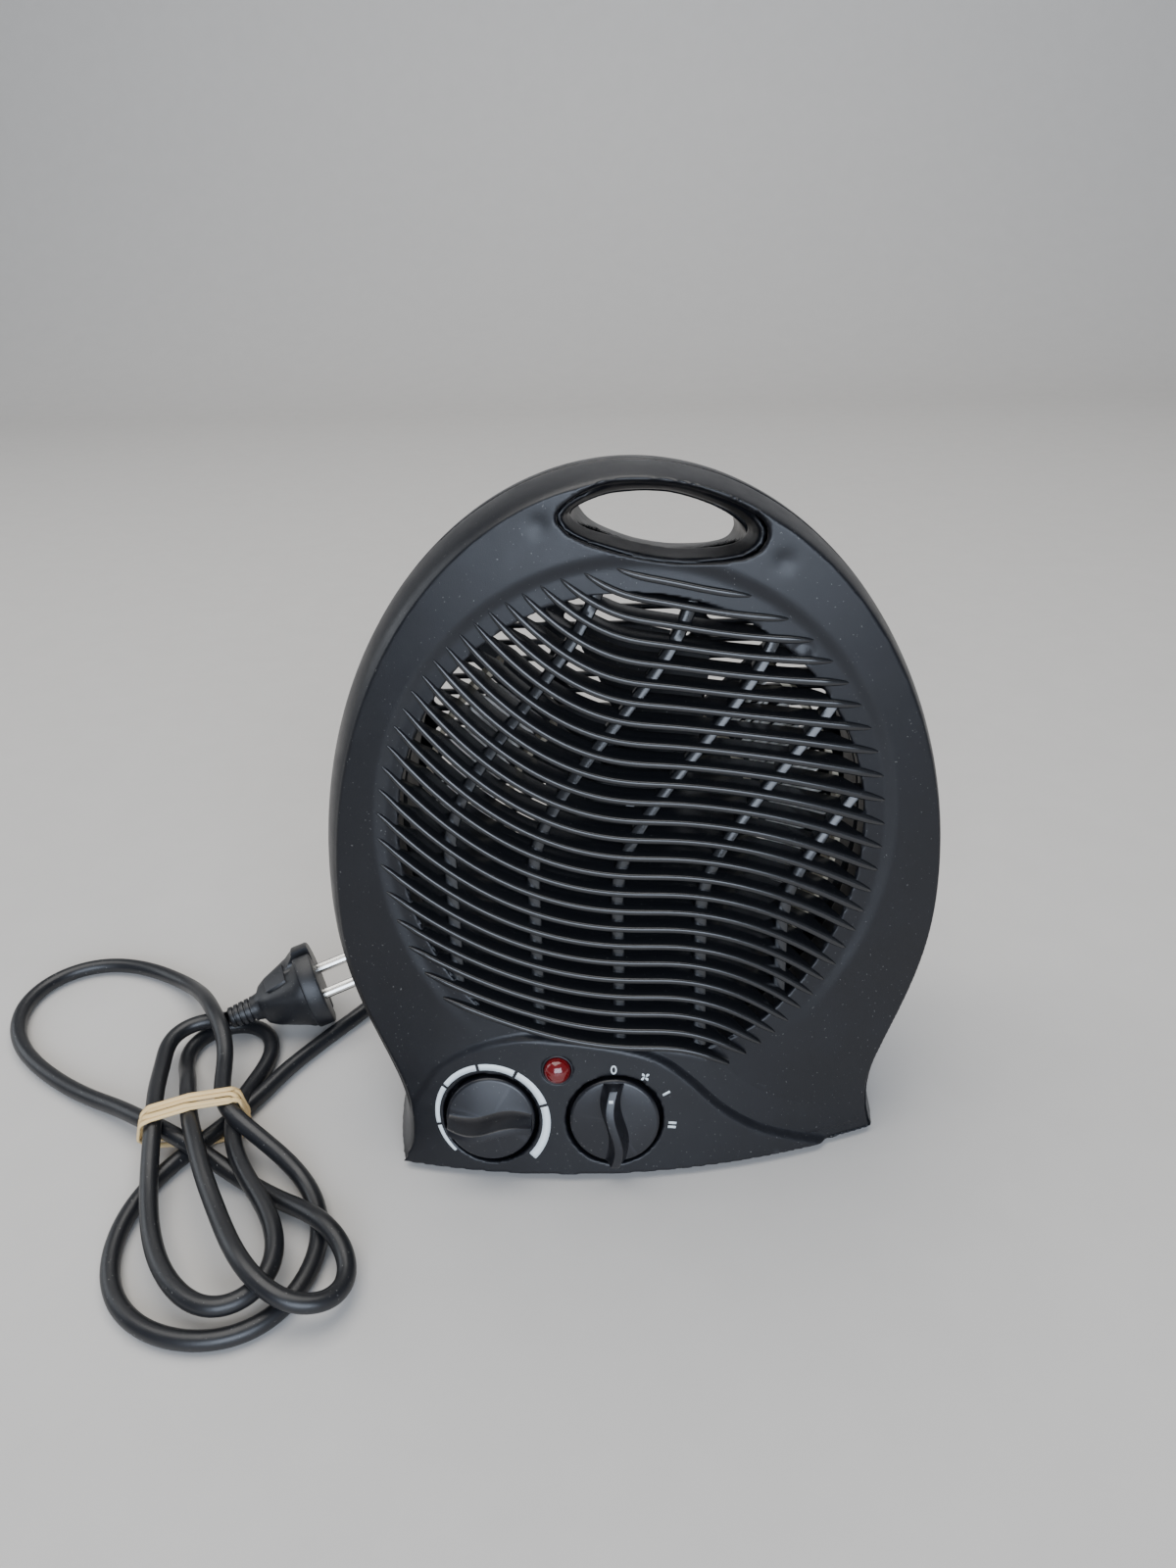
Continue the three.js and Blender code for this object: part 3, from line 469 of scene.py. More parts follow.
def cord(bushing):
    """The whole lead as one curve, kept clear of the floor and inside the CAD's box."""
    points = lead_line()
    points[:, 0] = np.maximum(points[:, 0], LEFT_END + CORD_D / 2)
    points[:, 1] = np.minimum(points[:, 1], BACK_END - CORD_D / 2)
    points[:, 2] = np.maximum(points[:, 2], CORD_D / 2 + 0.02)
    data = bpy.data.curves.new("mains_lead", "CURVE")
    data.dimensions = "3D"
    data.bevel_depth = CORD_D / 2 * MM
    data.bevel_resolution = 6
    data.use_fill_caps = True
    spline = data.splines.new("POLY")
    spline.points.add(len(points) - 1)
    for point, place in zip(spline.points, points):
        point.co = (*(place * MM), 1.0)
    spline.use_smooth = True
    lead = shown("mains_lead", data)
    data.materials.append(MATERIALS["cord_black"])
    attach(lead, "root")
    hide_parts("mains_cord", "cord_loop", "cord_fold", "cord_tail", "cord_bundle")


# ---- the body's surfaces ----
def xyz(x, y, z):
    """Points from their coordinates, any of which may be one number for all."""
    return np.stack(np.broadcast_arrays(x, y, z), 1)


def parting_y(z):
    """Depth of the seam between the front and rear halves."""
    return PART_Y + z * PART_TILT


def back_y(z):
    return BACK_Y - z * BACK_TILT


def face_y(x, z):
    """Depth of the plain front face: a leaning panel that runs over into the face, both bowed sideways."""
    panel, face = tan(PANEL_LEAN), tan(FACE_LEAN)
    into = np.clip(z - PANEL_TOP + PANEL_BLEND, 0, 2 * PANEL_BLEND)
    over = np.maximum(0, z - PANEL_TOP - PANEL_BLEND)
    lean = panel * z + (face - panel) * (into ** 2 / (4 * PANEL_BLEND) + over)
    height = np.clip(z / 250, 0, 1)
    return FACE_Y + lean + (0.0016 - 0.0011 * height) * (x + 25 - 22 * height) ** 2


def bezier(a, b, c, d, count):
    t = np.linspace(0, 1, count + 1)[:, None]
    a, b, c, d = (np.array(p, float) for p in (a, b, c, d))
    return a * (1 - t) ** 3 + 3 * b * t * (1 - t) ** 2 + 3 * c * t ** 2 * (1 - t) + d * t ** 3


def outline():
    """The body's outline at the seam, from the right corner over the top and back along the floor.

    Returns its points, their outward directions and which of them are on the floor."""
    arch, across = 150, 40
    low = np.array([BASE_HALF, FLOOR_Z])
    knee, waist = np.array([WAIST[0], FLOOR_Z + 7]), np.array(WAIST)
    flare = bezier(low, (low + 2 * knee) / 3, (waist + 2 * knee) / 3, waist, 8)
    side = bezier(WAIST, (WAIST[0], WAIST[1] + 20), (HALF_WIDTH, WIDEST_Z - 46), (HALF_WIDTH, WIDEST_Z), 34)
    right = np.concatenate([flare, side[1:]])
    turns = np.pi * np.arange(1, arch) / arch
    top = np.stack([HALF_WIDTH * np.cos(turns), WIDEST_Z + ARCH_RISE * np.sin(turns)], 1)
    floor = [(BASE_HALF * (2 * i / across - 1), FLOOR_Z) for i in range(1, across)]
    points = np.concatenate([right, top, right[::-1] * (-1, 1), floor])
    along = np.roll(points, -1, 0) - np.roll(points, 1, 0)
    along /= np.linalg.norm(along, axis=1)[:, None]
    normal = np.stack([along[:, 1], -along[:, 0]], 1)
    on_floor = points[:, 1] <= FLOOR_Z + 1e-6
    corner = on_floor & (np.abs(points[:, 0]) > BASE_HALF - 1)
    normal[on_floor] = 0
    normal[corner, 0] = np.sign(points[corner, 0])
    return points, normal, on_floor


OUTLINE = outline()
FRONT_ROUNDING, REAR_ROUNDING, REAR_REACH = 2 / 1.75, 2 / 1.7, 22.0


def drawn_in(inset, lift):
    points, normal, on_floor = OUTLINE
    moved = points - normal * np.reshape(inset, (-1, 1))
    moved[:, 1] = np.where(on_floor, points[:, 1] + lift, np.maximum(moved[:, 1], FLOOR_Z + lift))
    return moved


def front_form(thick, past):
    """Rings of the front half's outside, or with thick > 0 its hollow, carried on past the seam."""
    normal = OUTLINE[1]
    inset = 6 - 3 * normal[:, 0] - 3.5 * np.maximum(0, normal[:, 1]) ** 2
    edge, wide = drawn_in(inset + thick, thick), drawn_in(inset * 0 + thick, thick)
    x, z = wide.T
    rings = [xyz(x, parting_y(z) + past, z)] if past else []
    near = face_y(*edge.T) + thick
    for turn in np.linspace(0, pi / 2, 15):
        inward, forward = 1 - cos(turn) ** FRONT_ROUNDING, sin(turn) ** FRONT_ROUNDING
        x, z = (wide + (edge - wide) * inward).T
        rings.append(xyz(x, parting_y(z) + (near - parting_y(z)) * forward, z))
    for shrink in np.linspace(0.985, 0.3, 34):
        x, z = edge[:, 0] * shrink, GRILLE_Z + (edge[:, 1] - GRILLE_Z) * shrink
        rings.append(xyz(x, face_y(x, z) + thick, z))
    return rings


def rear_form(thick, past):
    """Rings of the rear half's outside, or with thick > 0 its hollow, carried on past the seam."""
    even = np.ones(len(OUTLINE[0]))
    x, z = drawn_in(even * thick, thick).T
    rings = [xyz(x, parting_y(z) - past, z)] if past else []
    for turn in np.linspace(0, pi / 2, 22):
        inward = REAR_REACH * (1 - cos(turn) ** REAR_ROUNDING)
        x, z = drawn_in(even * (inward + thick), thick).T
        near = parting_y(z) + GAP
        rings.append(xyz(x, near + (back_y(z) - thick - near) * sin(turn) ** REAR_ROUNDING, z))
    last = drawn_in(even * (REAR_REACH + thick), thick)
    for shrink in np.linspace(0.96, 0.2, 24):
        x, z = last[:, 0] * shrink, GRILLE_Z + (last[:, 1] - GRILLE_Z) * shrink
        rings.append(xyz(x, back_y(z) - thick, z))
    return rings


# ---- the handle slot ----
SLOT_MOUTH = [(-22.6, 240.6), (-8, 250.2), (5, 251.3), (21.6, 248.9), (42, 239.7),
              (45.4, 234), (42, 227.6), (16.2, 225), (-8.7, 230.5), (-19.5, 235.6)]
SLOT_THROAT = [(-18.8, 236.6), (-8.8, 242), (5, 243.5), (17.1, 242.2), (36, 234.6),
               (40.3, 230), (37.4, 225.8), (17.1, 223.9), (-5, 228.6), (-16, 232.7)]
SLOT_DROP, SLOT_FLARE = 8, 11  # how far the slot sinks towards the back, and its floor beyond that


def eye(corners, grow):
    """The slot's outline through its corners, grown outwards."""
    points = evenly(catmull([(x, 0, z) for x, z in corners], 24, closed=True), 72)[:, ::2]
    out = points - points.mean(0)
    return points + out / np.linalg.norm(out, axis=1)[:, None] * grow


def slot_rings(grow, front):
    """Rings of the handle slot from before the face, or from the seam, to behind the back."""
    mouth, throat = eye(SLOT_MOUTH, grow), eye(SLOT_THROAT, grow)
    x, z = throat.T
    rings = []
    if front:
        lip_x, lip_z = (mouth + (mouth - throat) * 0.12).T
        rings.append(xyz(lip_x, -60.0, lip_z))
        rings.append(xyz(lip_x, face_y(lip_x, lip_z) - 0.6, lip_z))
        near, far = face_y(*mouth.T), parting_y(z)
        for share in (0.08, 0.3, 0.6, 0.85):
            at_x, at_z = (mouth + (throat - mouth) * (1 - (1 - share) ** 1.6)).T
            rings.append(xyz(at_x, near + (far - near) * share, at_z))
    rings.append(xyz(x, parting_y(z), z))
    rings.append(xyz(x, 80.0, z - SLOT_DROP - SLOT_FLARE * smoothstep(z, 240, 226)))
    return rings


def in_panel(at):
    """Frame of a control: Y runs into the panel and Z up it."""
    return Matrix.Translation((at[0], float(face_y(*at)), at[1])) @ Matrix.Rotation(-PANEL_LEAN, 4, "X")


# ---- relief of the face, as depth behind the plain face ----
CREST = [  # the wave at the panel's upper edge
    (-99, -8), (-90, 14), (-78.8, 34.2), (-71.8, 43.2), (-58, 51.3), (-40.5, 55.6), (-23.9, 54.8), (-5.9, 52),
    (9.6, 46.4), (19.7, 38.3), (33.1, 24.6), (46.7, 14.7), (60.7, 8), (72.6, 3), (90, -6)]
CREST_LINE = catmull([(x, 0, z) for x, z in CREST], 10)
RECESS = (1.5, 130.0, 89.4, 96.0)  # the shallow recess round the grille: centre and half axes
RECESS_DEEP = 1.1
# x, z, radius and depth of the sink marks beside the slot, and of a small moulded ring
DIMPLES = [(-27.9, 237.9, 4.6, 0.5), (50.2, 224.7, 4.6, 0.5)]
PIP = (57.5, 194.5, 3.2, 0.35)


def ring_recess(x, z):
    share = np.hypot((x - RECESS[0]) / RECESS[2], (z - RECESS[1]) / RECESS[3])
    return RECESS_DEEP * (1 - smoothstep(share, 0.975, 1.035)) * smoothstep(z, 52, 88)


def panel_step(x, z):
    """Depth of the face above the panel's crest, which fades out towards the grille."""
    height = np.interp(x, CREST_LINE[:, 0], CREST_LINE[:, 2])
    slope = np.gradient(CREST_LINE[:, 2], CREST_LINE[:, 0])
    steep = np.interp(x, CREST_LINE[:, 0], slope)
    away = (z - height) / np.sqrt(1 + steep ** 2)
    drop = 0.7 + 2.1 * smoothstep(x, -75, -20)
    return drop * smoothstep(away, -0.3, 1.9) * (1 - smoothstep(away, 7, 46))


def relief(x, z):
    """Depth of everything moulded into the face."""
    depth = ring_recess(x, z) + panel_step(x, z)
    for cx, cz, radius, deep in DIMPLES:
        depth = depth + deep * np.exp(-((x - cx) ** 2 + (z - cz) ** 2) / radius ** 2 * 2)
    pip_x, pip_z, radius, deep = PIP
    away = np.hypot(x - pip_x, z - pip_z)
    return depth + deep * (np.exp(-((away - radius) / 0.8) ** 2) - np.exp(-away ** 2))


def grille_ring(share, depth, foot=0.0):
    """A ring inside the slat tips, flat along the lowest slat; depth gives its Y at each place."""
    turns = np.linspace(0, 2 * pi, 160, endpoint=False)
    x = TIPS_X * share * np.cos(turns)
    z = np.maximum(GRILLE_Z + TIPS_Z * share * np.sin(turns), slat_z(x, 1.0) + foot)
    return xyz(x, depth(x, z), z)


def slat_z(x, share):
    """Height of a slat at x, eased over a few millimetres to either side."""
    shifts = np.linspace(-12, 12, 9)
    weights = 1 + np.cos(np.pi * shifts / 15)
    return sum(w * bare_slat_z(x + d, share) for d, w in zip(shifts, weights)) / weights.sum()


def bare_slat_z(x, share):
    """Height of a slat at x; share runs from 0 for the top slat to 1 for the lowest."""
    u, w = np.maximum(0, 10 - x) / 100, np.maximum(0, x - 10) / 100
    crest = 220.5 - 171.3 * share + 3.9 * share ** 2
    left = (168 - 377 * share + 248.6 * share ** 2) * u ** 2 + (143 * share - 149 * share ** 2 - 8) * u ** 3
    right = (69.8 * share - 28.9 - 47.6 * share ** 2) * w
    fall = (23.8 - 102.7 * share - 32.8 * share ** 2) * w ** 2
    return crest + left + (right + fall)


# ---- the two halves of the case ----
SHELL_MARGIN, TUNNEL_MARGIN, TUNNEL_WALL = 0.4, 0.05, 2.2
INTAKE_REACH, INTAKE_PITCH, INTAKE_HIGH = 82.0, 7.2, 4.8


def remeshed(obj, smoothing):
    """Melts the joined solids into one skin with soft moulded corners."""
    modified(obj, "REMESH", mode="VOXEL", voxel_size=VOXEL * MM, use_smooth_shade=True)
    return modified(obj, "SMOOTH", factor=0.5, iterations=smoothing)


def add_inside(case, part, form, margin):
    """Joins a part to a case, cut to stay a margin inside the case's outer form."""
    boolean(part, solid("keep", form(margin, 0)), "INTERSECT")
    boolean(case, part, "UNION")


def front_case():
    case = solid("front_case", front_form(0, 0))
    boolean(case, solid("hollow", front_form(WALL, 30)), "DIFFERENCE")
    collar = [grille_ring(MOUTH + 0.03, lambda x, z, deep=deep: face_y(x, z) + deep, -2.6)
              for deep in (1.2, 13)]
    boolean(case, solid("collar", collar), "UNION")
    for dial in (THERMOSTAT, SWITCH):
        cup = placed(rod("cup", RECESS_R + 1.9, -3, 10.2), in_panel(dial))
        add_inside(case, cup, front_form, SHELL_MARGIN)
    add_inside(case, solid("tunnel", slot_rings(TUNNEL_WALL, True)[3:]), front_form, TUNNEL_MARGIN)
    for x, z in SCREWS:
        y = parting_y(z) - 1
        add_inside(case, rod("post", 4, y - 14, y, x, z), front_form, SHELL_MARGIN)
    opening = [grille_ring(MOUTH, lambda x, z, y=y: y) for y in (-90.0, 30.0)]
    boolean(case, solid("opening", opening), "DIFFERENCE")
    boolean(case, solid("slot", slot_rings(0, True)), "DIFFERENCE")
    for dial in (THERMOSTAT, SWITCH):
        boolean(case, placed(rod("dial_recess", RECESS_R, -14, 8.2), in_panel(dial)), "DIFFERENCE")
    boolean(case, placed(rod("lamp_hole", 5.4, -12, 12), in_panel(LAMP)), "DIFFERENCE")
    remeshed(case, 5)
    points = np.zeros(len(case.data.vertices) * 3)
    case.data.vertices.foreach_get("co", points)
    points = points.reshape(-1, 3) / MM
    x, y, z = points.T
    proud = y - face_y(x, z)
    near = 1 - smoothstep(proud, 1.0, 2.4)
    flat = 1 - smoothstep(np.abs(proud), 0.25, 0.8)
    points[:, 1] += relief(x, z) * near - proud * flat
    case.data.vertices.foreach_set("co", (points * MM).ravel())
    case.data.update()
    return finish_piece(case, "case_black", "front_shell")


def rear_case():
    case = solid("rear_case", rear_form(0, 0))
    boolean(case, solid("hollow", rear_form(WALL, 30)), "DIFFERENCE")
    for x, z in SCREWS:
        post = rod("post", 4.6, parting_y(z) + 0.4, back_y(z) - 1, x, z)
        add_inside(case, post, rear_form, SHELL_MARGIN)
    add_inside(case, solid("tunnel", slot_rings(TUNNEL_WALL, False)), rear_form, TUNNEL_MARGIN)
    slot = [ring + np.array([0, shift, 0]) for ring, shift in zip(slot_rings(0, False), (-12, 6))]
    boolean(case, solid("slot", slot), "DIFFERENCE")
    for x, z in SCREWS:
        boolean(case, rod("screw_way", 3.7, parting_y(z) + 12, 90, x, z), "DIFFERENCE")
    boolean(case, rod("lead_hole", BUSHING_HOLE, 50, 85, *BUSHING), "DIFFERENCE")
    boolean(case, intake_slots(), "DIFFERENCE")
    remeshed(case, 3)
    return finish_piece(case, "case_black", "rear_shell")


def round_ended(left, right, z, y):
    """Ring of a level slot with round ends."""
    radius = INTAKE_HIGH / 2
    loop = []
    for middle, sign in ((right - radius, radius), (left + radius, -radius)):
        for turn in np.linspace(-pi / 2, pi / 2, 9):
            loop.append((middle + sign * cos(turn), y, z + sign * sin(turn)))
    return loop


def intake_slots():
    """Three columns of slots that fill a circle on the back."""
    pieces = []
    for z in np.arange(-77, 78, INTAKE_PITCH):
        half = sqrt(INTAKE_REACH ** 2 - z * z)
        for middle in (-56, 0, 56):
            left, right = max(-half, middle - 25), min(half, middle + 25)
            if right - left > 6:
                pieces.append(loft([round_ended(left, right, GRILLE_Z + z, y) for y in (45.0, 85.0)]))
    return joined("intake", pieces)


# ---- grille ----
TIP_LONG, TIP_HALF, SLAT_HALF = 8.0, 0.16, 1.18  # length of a slat's taper, half thickness at its ends
SLAT_SECTION = ((-1, 1.0), (-1, 0.9), (-0.82, 0.32), (-0.4, 0.05), (0.4, 0.05), (0.82, 0.32), (1, 0.9),
                (1, 1.0))  # sideways share, depth share
RIB_SECTION = ((-2.4, 0.6), (-1.8, 0), (1.8, 0), (2.4, 0.6), (2.0, 6), (-2.0, 6))
RIB_BEHIND = 2.8


def slat_end(share, step):
    """Where a slat meets the ellipse of tips, going left or right from the middle."""
    x = 10.0
    while ((x + step) / TIPS_X) ** 2 + ((slat_z(x + step, share) - GRILLE_Z) / TIPS_Z) ** 2 < 1.0:
        x += step
    return x


def slat(index):
    share = index / (SLATS - 1)
    left, right = slat_end(share, -0.25), slat_end(share, 0.25)
    count = max(24, int((right - left) / 2.2))
    along = (1 - np.cos(np.pi * np.linspace(0, 1, count))) / 2
    x = left + (right - left) * (0.5 * along + 0.5 * np.linspace(0, 1, count))
    z = slat_z(x, share)
    slope = slat_z(x + 0.4, share) - slat_z(x - 0.4, share)
    size = np.hypot(0.8, slope)
    over = np.stack([-slope / size, 0.8 / size], 1)
    from_end = np.minimum(np.hypot(x - left, z - z[0]), np.hypot(x - right, z - z[-1]))
    taper = np.clip(from_end / TIP_LONG, 0, 1) ** 0.5
    thicker = 1 + 0.3 * smoothstep(x, 20, 85) * smoothstep(z, 60, 110)
    half = (TIP_HALF + (SLAT_HALF - TIP_HALF) * taper) * thicker
    front = face_y(x, z) + ring_recess(x, z) - 0.3 - 1.4 * taper
    back = front + 1.6 + (SLAT_DEEP - 0.4) * np.clip(from_end / (2 * TIP_LONG), 0, 1) ** 2
    back = np.where(from_end > 6.0, back, np.minimum(back, front + 2.6))
    rings = []
    for i in range(count):
        ring = []
        for side, deep in SLAT_SECTION:
            y = back[i] if deep == 1.0 else front[i] + deep * half[i]
            ring.append((x[i] + over[i, 0] * side * half[i], y, z[i] + over[i, 1] * side * half[i]))
        rings.append(ring)
    return loft(rings)


def rib(index):
    foot, bend = -64 + 29.5 * index, 125 - 7.5 * index
    z = np.linspace(GRILLE_Z - 92, GRILLE_Z + 92, 60)
    x = foot + 57 * smoothstep(z, bend, bend + 105)
    inside = np.hypot(x / TIPS_X, (z - GRILLE_Z) / TIPS_Z) < MOUTH + 0.012
    inside &= z > slat_z(x, 1.0) - 2
    rings = []
    for px, pz in zip(x[inside], z[inside]):
        y = float(face_y(px, pz)) + RIB_BEHIND
        rings.append([(px + a, y + b, pz) for a, b in RIB_SECTION])
    return loft(rings)


def grille():
    pieces = [slat(i) for i in range(SLATS)] + [rib(i) for i in range(RIBS)]
    obj = smooth_by_angle(joined("wave_grille", pieces), 50)
    return finish_piece(obj, "grille_black", "front_grille")


# ---- dials ----
RIDGE_REACH, RIDGE_WAVE, RIDGE_END_HIGH = 15.6, 1.5, 7.3
RIDGE_CREST, RIDGE_BASE = 1.35, 3.9  # half widths
BAND_R, BAND_LOW, BAND_HIGH = 19.7, -136.0, 134.0
BAND_CUTS = (BAND_LOW, -102, -56, -12, 28, 73, BAND_HIGH)
NOUGHT_UP, FAN_MARK, FAN_MARK_TURN, MARK_LIFT = 20.6, 20.7, 34, 0.16


def knob(name, at, turn, node, crest_high, shift):
    """A disc with a wavy grip ridge across it; shift moves the ridge off the middle."""
    edge = KNOB_R
    disc = lathe(name, [(0, 4), (edge - 0.4, 4), (edge, 3.6), (edge, -0.4), (edge - 0.5, -0.95),
                        (edge - 1.2, -1.2), (0, -1.2)], 96)
    rings = []
    for s in np.linspace(-1, 1, 41):
        middle = RIDGE_WAVE * sin(pi * s) + shift
        high = crest_high - (crest_high - RIDGE_END_HIGH) * s * s
        half = [(RIDGE_CREST, -high), (RIDGE_CREST + 0.35, 0.6 - high),
                (RIDGE_BASE * 0.72, -1.0 - 0.3 * (high - 1)), (RIDGE_BASE, -1.0)]
        shape = [(-w, y) for w, y in reversed(half)] + half + [(0, 1.5)]
        rings.append([(RIDGE_REACH * s, y, middle + w) for w, y in shape])
    ridge = solid("ridge", rings)
    limit = rod("limit", KNOB_R - 0.7, -12, 3, count=96)
    boolean(ridge, limit, "INTERSECT")
    ridge.data.transform(Matrix.Rotation(turn, 4, "Y"))
    boolean(disc, ridge, "UNION")
    boolean(disc, rod("bore", 3.2, 0.5, 8), "DIFFERENCE")
    soften(disc, 0.35, 35)
    placed(disc, in_panel(at))
    return finish_piece(smooth_by_angle(disc, 40), "knob_black", node)


def on_panel(at, pairs, lift):
    """Points of a flat mark round a control, laid on the panel."""
    frame_at = in_panel(at)
    out = []
    for a, b in pairs:
        p = frame_at @ Vector((a, 0, b))
        out.append((p.x, float(face_y(p.x, p.z) + relief(p.x, p.z)) - lift, p.z))
    return out


def strip(at, outer, inner):
    """A thin plate between two lines of points round a control."""
    corners = ((outer, MARK_LIFT), (inner, MARK_LIFT), (inner, -0.3), (outer, -0.3))
    return loft(list(zip(*(on_panel(at, pairs, lift) for pairs, lift in corners))))


def polar(radius, degrees):
    turn = radians(degrees)
    return radius * sin(turn), radius * cos(turn)


def scale_band():
    """The thermostat's arc, which widens as it goes round and is cut into six."""
    pieces = []
    for start, end in zip(BAND_CUTS, BAND_CUTS[1:]):
        first = start + (1.6 if start > BAND_LOW else 0)
        last = end - (1.6 if end < BAND_HIGH else 0)
        turns = np.linspace(first, last, 18)
        wide = 1.1 + 2.1 * ((turns - BAND_LOW) / (BAND_HIGH - BAND_LOW)) ** 0.75
        pieces.append(strip(THERMOSTAT, [polar(BAND_R + w, t) for w, t in zip(wide, turns)],
                            [polar(BAND_R, t) for t in turns]))
    return pieces


def oval(half_wide, half_high):
    turns = np.linspace(0, 2 * pi, 33)
    return [(half_wide * sin(t), NOUGHT_UP + half_high * cos(t)) for t in turns]


def marks():
    """The thermostat's scale and the switch's nought, four-bladed fan, one bar and two bars."""
    pieces = scale_band()
    pieces.append(strip(SWITCH, oval(1.15, 1.75), oval(0.62, 1.2)))
    fx, fz = polar(FAN_MARK, FAN_MARK_TURN)
    for blade in range(4):
        start = radians(90 * blade)
        outer, inner = [], []
        for k in range(9):
            r = 0.3 + 1.5 * k / 8
            bend = start + 0.5 * k / 8
            wide = 0.95 * sin(pi * min(1, 0.15 + 0.8 * k / 8))
            c, s = cos(bend), sin(bend)
            outer.append((fx + r * c - wide * s, fz + r * s + wide * c))
            inner.append((fx + r * c, fz + r * s))
        pieces.append(strip(SWITCH, outer, inner))
    for degrees, shift in ((63, 0.0), (99, -0.85), (99, 0.85)):
        ends = []
        for radius in (20.3, 23.3):
            x, z = polar(radius, degrees)
            side = polar(1.0, degrees + 90)
            ends.append([(x + side[0] * (shift + w), z + side[1] * (shift + w)) for w in (-0.42, 0.42)])
        pieces.append(strip(SWITCH, [ends[0][0], ends[1][0]], [ends[0][1], ends[1][1]]))
    obj = joined("dial_marks", pieces)
    return finish_piece(obj, "mark_white")


def pointer_mark():
    """White mark on the crest of the switch dial's ridge."""
    low, high = 11.2, 12.6
    corners = ((-0.8, low), (0.8, low), (0.8, high), (-0.8, high))
    obj = joined("switch_pointer", [loft([[(x, y, z) for x, z in corners] for y in (-8.6, -7.6)])])
    bend = -RIDGE_WAVE * sin(pi * (low + high) / 2 / RIDGE_REACH)
    obj.data.transform(Matrix.Translation(Vector((bend, 0, 0)) * MM))
    placed(obj, in_panel(SWITCH))
    return finish_piece(obj, "mark_white", body="switch_dial")


def lamp():
    profile = [(0, 4.5), (5.0, 4.5), (5.0, 0.0)]
    profile += [(5.0 * cos(t), -0.1 - 4.1 * sin(t)) for t in np.linspace(0.05, pi / 2, 16)]
    dome = placed(lathe("pilot_lens", profile, 48), in_panel(LAMP))
    finish_piece(dome, "lamp_red", "lamp_lens")
    section = ((5.15, 0.6), (5.15, -0.25), (5.45, -0.4), (5.9, -0.25), (6.0, 0.6))
    bezel = solid("lamp_bezel", [ring_points(radius, y, 64) for radius, y in section], closed=True)
    placed(bezel, in_panel(LAMP))
    bezel.data.transform(Matrix.Translation((0, float(relief(*LAMP)) * MM, 0)))
    finish_piece(bezel, "case_black")


# ---- fan and heater ----
BLADES, BLADE_ROOT, BLADE_LONG, WIDEST_TURN = 5, 14, 54, 0.4
LAYERS, WIRE_INNER, WIRE_OUTER, WIRE_FRONT, WIRE_HALF_TURN = 4, 48.6, 71.4, -21.2, 0.88


def blade(start):
    """One cambered, twisted blade with rounded corners at its tip."""
    rings = []
    for step in np.linspace(0, 1, 14):
        radius, chord, pitch = BLADE_ROOT + BLADE_LONG * step, 13 + 18 * step, 0.75 - 0.36 * step
        corner = sqrt(max(0.0, 1 - max(0.0, (step - 0.8) / 0.24) ** 2))
        half_turn = asin(min(0.9, chord * cos(pitch) / radius / 1.02))
        lead = min(half_turn, WIDEST_TURN) * (0.55 + 0.45 * corner)
        upper, lower = [], []
        for side in np.linspace(-1, 1, 11):
            turn = start + 0.24 * step + side * lead
            lift = side * chord * 0.5 * sin(pitch) - 1.6 * (1 - side * side)
            thick = 0.45 + 0.55 * sqrt(1 - side * side)
            x, z = radius * cos(turn), radius * sin(turn)
            upper.append((x, lift - thick, z))
            lower.append((x, lift + thick, z))
        rings.append(upper + lower[::-1])
    return loft(rings)


def fan():
    hub = [(0, 8), (16.6, 8), (17, 7.5), (17, -5.2), (16.5, -6.6), (14.4, -8.3), (13.4, -8.5), (5, -8.5),
           (4.6, -7.6), (0, -7.6)]
    pieces = [turned(hub, 72)] + [blade(2 * pi * number / BLADES) for number in range(BLADES)]
    obj = placed(joined("fan_blades", pieces), MACHINE)
    finish_piece(smooth_by_angle(obj, 40), "fan_black", "fan_impeller")


def heating_wire(start, name):
    """Layers of wire that zigzag between the inner and outer mica arcs, a little unevenly."""
    pieces = []
    for layer in range(LAYERS):
        turns = 24 - 2 * layer
        knots = []
        for i in range(2 * turns + 1):
            turn = start + WIRE_HALF_TURN * (i / turns - 1)
            wander = 1.6 * sin(2.1 * i + layer) + 1.1 * sin(0.7 * i + 2 * layer)
            radius = WIRE_OUTER - abs(wander) if i % 2 else WIRE_INNER + abs(wander)
            y = WIRE_FRONT + 2.3 * layer + 0.5 * wander
            knots.append((radius * cos(turn), y, radius * sin(turn)))
        pieces.append(sweep(catmull(knots, 4), disc_section(0.6, 6), up=(0, 1, 0)))
    obj = placed(joined(f"nichrome_{name}", pieces), MACHINE)
    finish_piece(obj, "nichrome", f"heating_wire_{name}")


# ---- screws, feet, bushing ----
def case_screw(number):
    x, z = SCREWS[number]
    profile = [(0, -20.5), (0.7, -20), (1.6, -18.6), (1.6, 0.4), (3.3, 0.4), (3.3, 1.5), (2.9, 2.35),
               (2.0, 2.85), (0, 3)]
    obj = lathe(f"screw_{number + 1}", profile, 40)
    for turn in (0.3, 0.3 + pi / 2):
        c, s = cos(turn), sin(turn)
        rings = []
        for y, long, wide in ((1.4, 1.0, 0.2), (3.3, 1.9, 0.42)):
            corners = [(-long, -wide), (long, -wide), (long, wide), (-long, wide)]
            rings.append([(c * a - s * b, y, s * a + c * b) for a, b in corners])
        boolean(obj, solid("cross", rings), "DIFFERENCE")
    placed(obj, Matrix.Translation((x, parting_y(z) + 12.2, z)))
    finish_piece(smooth_by_angle(obj, 30), "steel", f"case_screw_{number + 1}")


